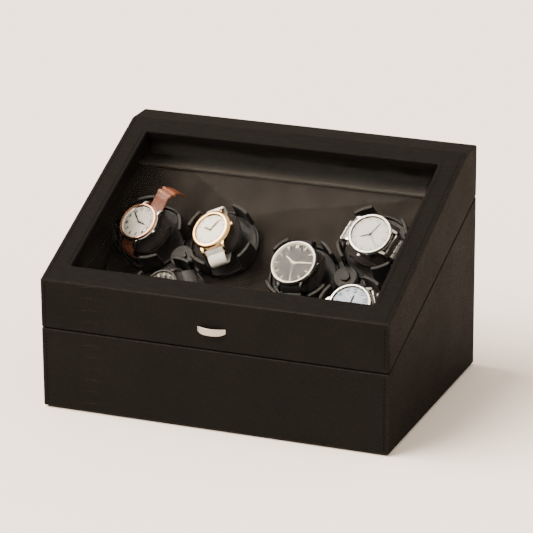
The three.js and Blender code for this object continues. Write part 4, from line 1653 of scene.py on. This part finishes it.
@dataclass
class Cushion:
    """A stuffed velvet cushion with a welt round each end, filled by cloth simulation."""

    half_length: float = 24.6
    half_width: float = 22.5
    half_height: float = 8.2
    z: float = 17.2
    spread: float = 1.03  # length and width of the bag before it's filled
    flatness: float = 0.94  # and its height
    welt: float = 0.55  # half its thickness
    welt_at: float = 0.86  # share of the half-length
    pressure: float = 14.0
    frames: int = 20  # that the filling takes
    voxel: float = 2.6  # mesh size of the bag
    reach: float = 0.9  # the furthest that filling may push a point
    enlarge: float = 10.0  # simulated at this many times its size, where the cloth is steadier

    def _girth(self, share: float) -> float:
        """Size of the section at a share of the half-length."""
        return max(0.0, 1 - abs(share) ** 4.2) ** 0.5

    def blank(self) -> Form:
        """The empty bag, as a soft-ended barrel along X.

        Returns:
            The bag.
        """
        rings = []
        for i in range(33):
            share = -math.cos(math.pi * i / 32)
            girth = max(self._girth(share), 0.02)
            rings.append(
                [
                    (
                        share * self.half_length * self.spread,
                        math.cos(math.tau * k / 48) * self.half_width * girth * self.spread,
                        math.sin(math.tau * k / 48) * self.half_height * girth * self.flatness,
                    )
                    for k in range(48)
                ]
            )
        return Form().loft(rings).face_out()

    def stuffed(self) -> bpy.types.Mesh:
        """The filled cushion's mesh, in metres, about its own middle.

        Returns:
            The mesh.
        """
        mesh = bpy.data.meshes.new("bag")
        self.blank().mesh.to_mesh(mesh)
        mesh.transform(Matrix.Scale(MM * self.enlarge, 4))
        bag = linked("bag", mesh)
        remesh = bag.modifiers.new("remesh", "REMESH")
        remesh.mode = "VOXEL"
        remesh.voxel_size = self.voxel * MM * self.enlarge
        bag = self._applied(bag)
        rest = [vertex.co.copy() for vertex in bag.data.vertices]
        bag = self._filled(bag)
        limit = self.reach * MM * self.enlarge
        for vertex, start in zip(bag.data.vertices, rest):
            step = vertex.co - start
            vertex.co = start + step * min(1.0, limit / max(step.length, 1e-9))
        smooth = bag.modifiers.new("smooth", "SUBSURF")
        smooth.levels = smooth.render_levels = 1
        bag = self._applied(bag)
        bag.data.transform(Matrix.Scale(1 / self.enlarge, 4))
        filled = bag.data
        bpy.data.objects.remove(bag)
        return filled

    def _filled(self, bag: bpy.types.Object) -> bpy.types.Object:
        """Runs the filling and returns the object with its result applied.

        Args:
            bag: The empty bag.

        Returns:
            The filled bag.
        """
        cloth = bag.modifiers.new("filling", "CLOTH")
        cloth.settings.use_pressure = True
        cloth.settings.uniform_pressure_force = self.pressure
        cloth.settings.mass = 0.25
        cloth.settings.tension_stiffness = 30.0
        cloth.settings.compression_stiffness = 10.0
        cloth.settings.bending_stiffness = 0.4
        cloth.settings.effector_weights.gravity = 0.0
        cloth.collision_settings.use_collision = False
        cloth.collision_settings.use_self_collision = False
        for step in range(1, self.frames + 1):
            bpy.context.scene.frame_set(step)
        bag = self._applied(bag)
        bpy.context.scene.frame_set(1)
        return bag

    def _applied(self, held: bpy.types.Object) -> bpy.types.Object:
        """The object with its modifiers applied.

        Args:
            held: The object.

        Returns:
            The same object.
        """
        result = evaluated(held)
        held.modifiers.clear()
        held.data = result
        return held

    def build(self, bench: Bench, places: Sequence[Place], tables: dict[str, Matrix]) -> None:
        """Fills one cushion and sets a copy of it in every place, each with its welts.

        Args:
            bench: Takes the pieces.
            places: The places on the turntables.
            tables: Each turntable's axes, by side.
        """
        filled = self.stuffed()
        filled.shade_smooth()
        filled.materials.clear()
        filled.materials.append(Finishes.VELVET.material())
        for spot in places:
            body = f"rotor_{spot.side}"
            seat = spot.seat(tables[spot.side]) @ shift(0, 0, self.z)
            cushion = linked(f"cushion_{spot.number}_velvet", filled.copy())
            cushion.matrix_world = in_metres(seat)
            bench.settle(cushion, body, [f"cushion_{spot.number}"])
            welts = {"place": seat, "slot": "cushion_cloth"}
            bench.piece(f"cushion_{spot.number}_welts", self._welts(), Finishes.WELT, body, **welts)

    def _welts(self) -> Form:
        """Two piped seams, one round each end.

        Returns:
            The seams.
        """
        form = Form()
        for end in (-1, 1):
            x, girth = end * self.welt_at * self.half_length, self._girth(self.welt_at)
            rings = []
            for away in hoop(Vector(), Vector((0, 1, 0)), Vector((0, 0, 1)), 48):
                middle = Vector((x, away.y * self.half_width * girth, away.z * self.half_height * girth))
                rings.append(hoop(middle, away * self.welt, Vector((self.welt, 0, 0)), 8))
            form.loft(rings, closed=True)
        return form


@dataclass
class Watch:
    """A watch on its cushion: case, bezel, dial, marks, hands, crystal, crown and band."""

    spot: Place
    case: Finish
    bezel: Finish
    dial: Finish
    ink: Finish
    hand_finish: Finish
    rehaut: Finish
    marks: Marks
    hands: Hands
    time: tuple[float, float, float | None]  # clockwise angles of the hour, minute and seconds hands
    sides: int = 64
    flute: float = 0.0
    bezel_width: float = 3.0
    thickness: float = 8.0
    cushion_z: float = 17.2
    loop: tuple[float, float] = (31.0, 10.2)
    band_thickness: float = 1.8
    numeral_size: float = 4.8
    link_pitch: float = 4.6

    def build(self, bench: Bench, table: Matrix) -> None:
        """Makes every piece of the watch.

        Args:
            bench: Takes the pieces.
            table: The turntable's axes.
        """
        seat = self.spot.seat(table)
        name = f"watch_{self.spot.number}"
        body = f"rotor_{self.spot.side}"
        metal = "watch_gold" if self.case is Finishes.GOLD else "watch_steel"

        def put(part: str, form: Form, finish: Finish, **options: object) -> None:
            """Makes one piece of the watch on its seat."""
            bench.piece(f"{name}_{part}", form, finish, body, place=seat, **options)

        put("body", self._body(), self.case, nodes=[f"{name}_case"], slot=metal)
        put("bezel", self._bezel(), self.bezel, slot=metal)
        put("rehaut", self._rehaut(), self.rehaut)
        put("dial", self._dial(), self.dial)
        put("marks", self._marks(), self.ink, even=False)
        put("hands", self._hands(), self.hand_finish, slot=metal, even=False)
        put("crystal", self._crystal(), Finishes.CRYSTAL, slot="glass")
        self._put_band(put, f"{name}_strap")

    @property
    def bottom(self) -> float:
        """Height of the case's back."""
        return self.spot.top - self.thickness

    @property
    def opening(self) -> float:
        """Inner radius of the bezel."""
        return self.spot.radius - self.bezel_width

    @property
    def dial_top(self) -> float:
        """Height of the dial's face."""
        return self.spot.top - 2.1

    def _body(self) -> Form:
        """The case with its four lugs and the crown.

        Returns:
            The case.
        """
        radius, bottom, top = self.spot.radius, self.bottom, self.spot.top
        profile = [
            (0, bottom), (radius * 0.88, bottom), (radius * 0.93, bottom + 0.5),
            (radius - 0.25, bottom + 1.9), (radius, bottom + 2.4), (radius, top - 3.0),
            (radius - 0.5, top - 2.5), (radius - 1.2, top - 2.35), (0, top - 2.35),
        ]
        form = Form().turned(profile, self.sides)
        if self.sides == 8:
            form.moved(turn(22.5, "Z")).soften(0.5, 2, 30.0)
        for end in (-1, 1):
            for side in (-1, 1):
                form.add(self._lug().moved(Matrix.Diagonal((side, end, 1, 1))))
        crown_profile = [(0, 0), (1.2, 0), (1.2, 0.7), (1.9, 0.8), (1.95, 2.3), (1.6, 2.6), (0, 2.6)]
        crown = Form().turned(crown_profile, 40, flute=0.12)
        return form.add(crown, shift(radius - 0.35, 0, bottom + 3.6) @ turn(90, "Y"))

    def _lug(self) -> Form:
        """A horn that curves down from the case to the end of the band.

        Returns:
            The horn.
        """
        radius, bottom = self.spot.radius, self.bottom
        x = self.spot.width / 2 + 0.4
        stations = [
            (radius * 0.55, 1.2, 5.4, 3.2), (radius * 0.8, 1.0, 5.3, 2.9),
            (radius + 0.2, 0.2, 4.2, 2.5), (radius + 1.9, -1.2, 2.2, 2.2),
            (radius + 3.0, -2.3, 0.4, 2.0), (radius + 3.4, -2.5, -1.0, 1.8),
        ]
        rings = []
        for y, low, high, wide in stations:
            corners = ((x, low), (x + wide, low), (x + wide, high), (x, high))
            rings.append([(across, y, bottom + z) for across, z in corners])
        return Form().loft(rings).soften(0.45, 2, 40.0)

    def _bezel(self) -> Form:
        """The polished ring round the crystal.

        Returns:
            The bezel.
        """
        radius, top, inner = self.spot.radius, self.spot.top, self.opening
        wide = self.bezel_width
        profile = [
            (inner, top - 2.3), (radius - 0.45, top - 2.3), (radius - 0.35, top - 1.9),
            (radius - 0.27 * wide, top - 1.0), (radius - 0.45 * wide, top - 0.5),
            (radius - 0.53 * wide, top - 0.68), (radius - 0.6 * wide, top - 0.5),
            (radius - 0.76 * wide, top - 0.3), (inner + 0.25, top - 0.35), (inner, top - 0.7),
        ]
        sides = 96 if self.flute else 72
        return Form().turned(profile, sides, closed=True, flute=self.flute)

    def _rehaut(self) -> Form:
        """The sloping ring between the bezel and the dial.

        Returns:
            The ring.
        """
        top, inner = self.spot.top, self.opening
        profile = [
            (inner - 0.02, self.dial_top - 0.15), (inner - 0.02, top - 0.95),
            (inner - 0.2, top - 0.9), (inner - 1.15, self.dial_top + 0.1),
            (inner - 1.15, self.dial_top - 0.15),
        ]
        return Form().turned(profile, 72, closed=True)

    def _dial(self) -> Form:
        """The dial's disc.

        Returns:
            The disc.
        """
        radius = self.opening - 0.05
        low = self.dial_top - 0.2
        return Form().turned([(0, low), (radius, low), (radius, self.dial_top), (0, self.dial_top)], 72)

    def _marks(self) -> Form:
        """The dial's hour marks and minute ring.

        Returns:
            The marks.
        """
        form = Form()
        rim = self.opening - 1.45
        z = self.dial_top
        for minute in range(60):
            if minute % 5:
                tick = Form().block((-0.1, 0.1), (rim - 0.9, rim), (z - 0.02, z + 0.06))
                form.add(tick.moved(turn(-6 * minute, "Z")))
        for hour in range(1, 13):
            spin = turn(-30 * hour, "Z")
            if self.marks is Marks.NUMERALS:
                angle = math.radians(90 - 30 * hour)
                reach = rim - 2.6
                at = shift(reach * math.cos(angle), reach * math.sin(angle), z)
                form.add(self._numeral(str(hour)), at)
                continue
            half, length, tall = (0.5, 4.2, 0.25) if self.marks is Marks.BATONS else (0.36, 3.2, 0.2)
            offsets = (-0.8, 0.8) if hour == 12 and self.marks is Marks.BATONS else (0.0,)
            for offset in offsets:
                across, along = (offset - half, offset + half), (rim - length, rim - 0.2)
                mark = Form().block(across, along, (z - 0.02, z + tall)).soften(0.1, 1, 40.0)
                form.add(mark.moved(spin))
        return form

    def _numeral(self, figures: str) -> Form:
        """A thin upright numeral, in the plain built-in face.

        Args:
            figures: The number.

        Returns:
            The numeral.
        """
        curve = bpy.data.curves.new("numeral", "FONT")
        curve.body = figures
        curve.size = self.numeral_size
        curve.align_x = "CENTER"
        curve.align_y = "CENTER"
        curve.extrude = 0.12
        curve.offset = 0.15
        curve.resolution_u = 3
        text = linked("numeral", curve)
        mesh = evaluated(text)
        form = Form()
        form.mesh.from_mesh(mesh)
        bmesh.ops.remove_doubles(form.mesh, verts=form.mesh.verts[:], dist=1e-4)
        bpy.data.objects.remove(text)
        bpy.data.curves.remove(curve)
        bpy.data.meshes.remove(mesh)
        return form

    def _hands(self) -> Form:
        """The hands on their cannon.

        Returns:
            The hands.
        """
        form = Form()
        z = self.dial_top
        reach = self.opening - 1.6
        hour, minute, second = self.time
        wide = {Hands.LEAF: 2.1, Hands.BATON: 1.3, Hands.NEEDLE: 0.8}[self.hands]
        form.add(self._hand(reach * 0.58, wide, z + 0.35).moved(turn(-hour, "Z")))
        form.add(self._hand(reach * 0.88, wide * 0.8, z + 0.6).moved(turn(-minute, "Z")))
        if second is not None:
            form.add(self._hand(reach * 0.93, 0.3, z + 0.85).moved(turn(-second, "Z")))
        cannon = Form().turned([(0, z), (0.9, z), (0.9, z + 1.0), (0.6, z + 1.15), (0, z + 1.15)], 20)
        return form.add(cannon)

    def _hand(self, length: float, width: float, z: float) -> Form:
        """One hand pointing to twelve, with a short tail.

        Args:
            length: From the middle to the tip.
            width: Its greatest width.
            z: Height of its underside.

        Returns:
            The hand.
        """
        half = width / 2
        if self.hands is Hands.LEAF:
            shares = [(-0.2, 0.35), (0.05, 0.3), (0.3, 0.85), (0.5, 1.0)]
            shares += [(0.72, 0.75), (0.9, 0.35), (1.0, 0.06)]
        else:
            shares = [(-0.2, 0.8), (0.0, 1.0), (0.8, 1.0), (0.95, 0.8), (1.0, 0.2)]
        left = [(-half * girth, length * share) for share, girth in shares]
        right = [(-x, y) for x, y in reversed(left)]
        return Form().plate([*left, *right], z, z + 0.16)

    def _crystal(self) -> Form:
        """The low domed glass.

        Returns:
            The glass.
        """
        inner, top = self.opening - 0.04, self.spot.top
        profile = [(0, top - 0.75), (inner, top - 0.75), (inner, top - 0.4), (inner - 0.5, top - 0.22)]
        profile += [(inner * 0.6, top - 0.08), (inner * 0.3, top - 0.02), (0, top)]
        return Form().turned(profile, 64)

    def _put_band(self, put: Callable[..., None], node: str) -> None:
        """Makes the strap or the bracelet, with its stitching and keepers.

        Args:
            put: Makes a piece of the watch.
            node: The node that the band stands for.
        """
        kind = self.spot.band
        if kind is Band.BRACELET:
            put("bracelet", self._links(), Finishes.LINK, nodes=[node], slot="watch_steel")
            return
        finishes = {
            Band.STAMPED: (Finishes.TAN, Finishes.TAN_PALE, "strap_tan"),
            Band.SMOOTH: (Finishes.WHITE, Finishes.WHITE, "strap_white"),
            Band.PLAIN: (Finishes.BLACK, Finishes.BLACK, "strap_black"),
        }
        finish, trim, slot = finishes[kind]
        path = self._laid_open() if kind is Band.STAMPED else self._looped()
        put("strap_leather", self._ribbon(path), finish, nodes=[node], slot=slot)
        put("strap_stitches", self._edge_stitches(path), trim, slot=slot, even=False)
        if kind is Band.STAMPED:
            put("strap_keepers", self._keepers(path), trim, slot=slot)

    def _looped(self) -> list[Vector]:
        """Points in Y and Z of a band that goes round the cushion, from lug to lug.

        Returns:
            The path.
        """
        wide, high = self.loop
        start = math.acos(min(1.0, (self.spot.radius + 2.6) / wide))
        steps = 60
        angles = [start - (math.pi + 2 * start) * i / steps for i in range(steps + 1)]
        radius, bottom = self.spot.radius, self.bottom
        near = [Vector((radius - 0.6, bottom + 2.2)), Vector((radius + 1.2, bottom + 0.7))]
        far = [Vector((-point.x, point.y)) for point in reversed(near)]
        round_cushion = [Vector((wide * math.cos(a), self.cushion_z + high * math.sin(a))) for a in angles]
        return [*near, *round_cushion, *far]

    def _laid_open(self) -> list[Vector]:
        """Points of a band that hugs the cushion on one side and arches out over the cup's rim.

        Returns:
            The path.
        """
        under = self.bottom - 0.3 - self.band_thickness / 2
        knots = [(-27, 13), (-28.2, 18), (-24, 23.4), (-14, under), (0, under), (17, under)]
        knots += [(25.5, 27.8), (33.5, 30.4), (41, 27.5), (46, 20), (47.5, 12.5)]
        points: list[Vector] = []
        for i in range(len(knots) - 1):
            p0, p1, p2, p3 = (Vector(knots[min(max(i + k, 0), len(knots) - 1)]) for k in (-1, 0, 1, 2))
            for step in range(6):
                t = step / 6
                bend = 2 * p0 - 5 * p1 + 4 * p2 - p3
                twist = 3 * p1 - p0 - 3 * p2 + p3
                points.append(0.5 * (2 * p1 + (p2 - p0) * t + bend * t**2 + twist * t**3))
        return [*points, Vector(knots[-1])]

    def _across(self, path: Sequence[Vector], i: int) -> tuple[Vector, Vector]:
        """The way along a path at one of its points, and the way out of it."""
        along = (path[min(i + 1, len(path) - 1)] - path[max(i - 1, 0)]).normalized()
        return along, Vector((-along.y, along.x))

    def _ribbon(self, path: Sequence[Vector]) -> Form:
        """A leather band with a padded middle and rounded edges, tapering away from the lugs.

        Args:
            path: The band's path.

        Returns:
            The band.
        """
        half_thick = self.band_thickness / 2
        rising = ((-1.0, 0.35), (-0.93, 0.8), (-0.75, 0.9), (0.0, 1.0))
        section = (*rising, *((-share, lift) for share, lift in reversed(rising[:3])))
        rings = []
        for i, point in enumerate(path):
            _, out = self._across(path, i)
            taper = 1.0 - 0.12 * math.sin(math.pi * i / (len(path) - 1))
            if self.spot.band is Band.STAMPED:
                taper = 1.0 - 0.16 * i / len(path)
            half = self.spot.width / 2 * taper
            ring = []
            for side in (1, -1):
                for share, lift in section:
                    offset = point + out * (side * lift * half_thick)
                    ring.append((side * share * half, offset.x, offset.y))
            rings.append(ring)
        return Form().loft(rings)

    def _edge_stitches(self, path: Sequence[Vector]) -> Form:
        """Short stitches along both edges of the band, on its outer face.

        Args:
            path: The band's path.

        Returns:
            The stitches.
        """
        form = Form()
        centre = Vector((0, self.cushion_z))
        for i in range(1, len(path) - 2):
            along, out = self._across(path, i)
            outer = self.spot.band is Band.STAMPED or out.dot(path[i] - centre) > 0
            outward = 1 if outer else -1
            for side in (-1, 1):
                x = side * self.spot.width / 2 * 0.76
                middle = path[i] + out * (outward * self.band_thickness * 0.46)
                rings = []
                for share, girth in ((-0.7, 0.4), (0.0, 1.0), (0.7, 0.4)):
                    centre_line = Vector((x, *(middle + along * share)))
                    rise = Vector((0, *(out * (0.14 * girth))))
                    rings.append(hoop(centre_line, Vector((0.2 * girth, 0, 0)), rise, 6))
                form.loft(rings)
        return form

    def _keepers(self, path: Sequence[Vector]) -> Form:
        """Two loops of paler leather round the long end of the band.

        Args:
            path: The band's path.

        Returns:
            The loops.
        """
        form = Form()
        for i in (len(path) - 17, len(path) - 13):
            along, out = self._across(path, i)
            half_wide = self.spot.width / 2 * 0.9 + 0.5
            half_thick = self.band_thickness / 2 + 0.55
            rings = []
            for reach, grow in ((-1.5, 0.0), (-1.1, 0.25), (1.1, 0.25), (1.5, 0.0)):
                section = rounded(half_wide + grow, -half_thick - grow, half_thick + grow, 0.8)
                ring = []
                for x, lift in section:
                    spot = path[i] + along * reach + out * lift
                    ring.append((x, spot.x, spot.y))
                rings.append(ring)
            form.loft(rings)
        return form

    def _links(self) -> Form:
        """Rows of three links round the cushion.

        Returns:
            The bracelet.
        """
        form = Form()
        path = self._looped()
        travelled = [0.0]
        for a, b in zip(path, path[1:]):
            travelled.append(travelled[-1] + (b - a).length)
        pitch = self.link_pitch
        rows = int(travelled[-1] // pitch)
        for row in range(rows):
            target = (row + 0.5) * travelled[-1] / rows
            i = max(k for k, length in enumerate(travelled) if length <= target)
            after = min(i + 1, len(path) - 1)
            share = (target - travelled[i]) / max(travelled[after] - travelled[i], 1e-6)
            point = path[i].lerp(path[after], share)
            along, out = self._across(path, i)
            rows_2d = ((0, along.x, out.x, point.x), (0, along.y, out.y, point.y))
            in_path = Matrix(((1, 0, 0, 0), *rows_2d, (0, 0, 0, 1)))
            for x0, x1, lift in ((-0.5, -0.24, 0.0), (-0.22, 0.22, 0.12), (0.24, 0.5, 0.0)):
                across = (x0 * self.spot.width, x1 * self.spot.width)
                link = Form().block(across, (-pitch * 0.47, pitch * 0.47), (-1.0 - lift, 1.0 + lift))
                form.add(link.soften(0.42, 2, 40.0), in_path)
        return form


# ---- Studio ----
@dataclass
class Studio:
    """Floor, lights, surroundings and the camera."""

    camera_at: Point = (1.0399, -2.6036, 1.1158)
    azimuth: float = 21.673
    elevation: float = 19.577
    roll: float = -0.353
    field_of_view: float = 9.553
    sensor: float = 36.0
    floor_reach: float = 12000.0
    surroundings: Colour = (1.0, 0.87, 0.75)
    brightness: float = 1.5
    key: float = 11.5
    key_width: float = 55.0  # degrees
    key_colour: Colour = (1.0, 0.88, 0.77)
    key_from: Point = (-0.6, -0.3, 0.74)

    def build(self) -> None:
        """Sets up the floor, the lights and the camera."""
        self._floor()
        self._surround()
        self._sun()
        self._camera()

    def _floor(self) -> None:
        """One wide, plain floor."""
        span = (-self.floor_reach, self.floor_reach)
        form = Form().block(span, span, (-20.0, -0.1))
        mesh = bpy.data.meshes.new("studio_floor")
        form.face_out().mesh.to_mesh(mesh)
        mesh.transform(Matrix.Scale(MM, 4))
        mesh.materials.append(Finishes.GROUND.material())
        linked("studio_floor", mesh)

    def _surround(self) -> None:
        """Even, warm light from all round."""
        world = bpy.data.worlds.new("surroundings")
        world.use_nodes = True
        background = world.node_tree.nodes["Background"]
        background.inputs["Color"].default_value = (*self.surroundings, 1.0)
        background.inputs["Strength"].default_value = self.brightness
        bpy.context.scene.world = world

    def _sun(self) -> None:
        """A very soft key light from the upper left."""
        light = bpy.data.lights.new("key", "SUN")
        light.angle = math.radians(self.key_width)
        light.energy = self.key
        light.color = self.key_colour
        lamp = linked("key", light)
        lamp.rotation_mode = "QUATERNION"
        lamp.rotation_quaternion = Vector(self.key_from).to_track_quat("Z", "Y")

    def _camera(self) -> None:
        """The camera, held at its measured place and tilt."""
        azimuth, elevation, roll = (math.radians(a) for a in (self.azimuth, self.elevation, self.roll))
        level = math.cos(elevation)
        ahead = Vector((-math.sin(azimuth) * level, math.cos(azimuth) * level, -math.sin(elevation)))
        right = ahead.cross(Vector((0, 0, 1))).normalized()
        up = right.cross(ahead)
        sine, cosine = math.sin(roll), math.cos(roll)
        right, up = right * cosine + up * sine, up * cosine - right * sine
        data = bpy.data.cameras.new("camera")
        data.sensor_width = self.sensor
        data.lens = self.sensor / 2 / math.tan(math.radians(self.field_of_view / 2))
        data.clip_start, data.clip_end = 0.05, 60.0
        camera = linked("camera", data)
        turned_to = Matrix((right, up, -ahead)).transposed().to_4x4()
        camera.matrix_world = Matrix.Translation(self.camera_at) @ turned_to
        bpy.context.scene.camera = camera


PLACES = (
    Place(1, "left", 153, 62.8, 12, 20.0, 36, 18, Band.STAMPED),
    Place(2, "left", 30, 110.5, 14, 20.3, 34, 18, Band.SMOOTH),
    Place(3, "right", 184, 92.8, 6, 22.9, 36, 19, Band.PLAIN),
    Place(4, "right", 61, 344.5, 0, 21.4, 36, 20, Band.BRACELET),
    Place(5, "right", 298, 23.3, 0, 21.5, 36, 20, Band.BRACELET),
    Place(6, "left", 271, 35, 6, 17.0, 34, 17, Band.PLAIN),
)


def watches() -> list[Watch]:
    """The six watches, in the order of their places.

    Returns:
        The watches.
    """
    make = Finishes
    white = DialFace("dial_silver_white", (0.5, 0.47, 0.44), 0.45, radius=16.7)
    warm = DialFace("dial_warm_white", (0.86, 0.83, 0.78), 0.15, radius=17.0)
    grey = DialFace("dial_dark_grey", (0.055, 0.05, 0.055), 0.9, 0.7, 19.6, 0.1)
    frost = DialFace("dial_frost_white", (0.62, 0.6, 0.57), 0.15, radius=18.1)
    blue = DialFace("dial_blue_white", (0.42, 0.47, 0.58), 0.4, radius=18.2)
    night = DialFace("dial_black", (0.008, 0.008, 0.009), 0.5, radius=13.7)
    first, second, third, fourth, fifth, sixth = PLACES
    return [
        Watch(
            first, make.STEEL, make.ROSE, white, make.INK, make.INK, make.STEEL,
            Marks.NUMERALS, Hands.LEAF, (84.7, 296.0, None), bezel_width=2.7,
        ),
        Watch(
            second, make.GOLD, make.GOLD, warm, make.GILT, make.GILT, make.GOLD,
            Marks.LINES, Hands.LEAF, (304.5, 54.0, None), bezel_width=4.0,
        ),
        # watch 3's case takes the steel darkened as painted shade
        Watch(
            third, make.SHADOWED, make.STEEL, grey, make.LUME, make.LUME, make.LUME,
            Marks.BATONS, Hands.BATON, (307.5, 90.0, 180.0), bezel_width=2.2,
        ),
        Watch(
            fourth, make.STEEL, make.STEEL, frost, make.INK, make.INK, make.STEEL,
            Marks.LINES, Hands.NEEDLE, (143.7, 284.7, 40.0), 8, bezel_width=2.8,
        ),
        Watch(
            fifth, make.STEEL, make.STEEL, blue, make.BLUE_INK, make.INK, make.STEEL,
            Marks.NUMERALS, Hands.BATON, (304.0, 49.0, None), flute=0.3, bezel_width=3.3,
        ),
        # watch 6's case, bezel and hands take the steel darkened as painted shade
        Watch(
            sixth, make.SHADOWED, make.SHADOWED, night, make.LUME, make.LUME, make.SHADOWED,
            Marks.LINES, Hands.BATON, (303.0, 50.0, None),
        ),
    ]


def main() -> None:
    """Builds the winder, piece by piece."""
    logging.basicConfig(level=logging.INFO, format="%(name)s: %(message)s")
    bench = Bench()
    Studio().build()
    Case().build(bench)
    Fittings().build(bench)
    Controls().build(bench)
    deck = Deck()
    deck.build(bench)
    tables: dict[str, Matrix] = {}
    for side in ("left", "right"):
        table = Turntable(side, deck, [spot for spot in PLACES if spot.side == side])
        table.build(bench)
        tables[side] = table.place
    Cushion().build(bench, PLACES, tables)
    for watch in watches():
        watch.build(bench, tables[watch.spot.side])
    log.info("%d pieces made", len(bench.made))


if __name__ == "__main__":
    main()
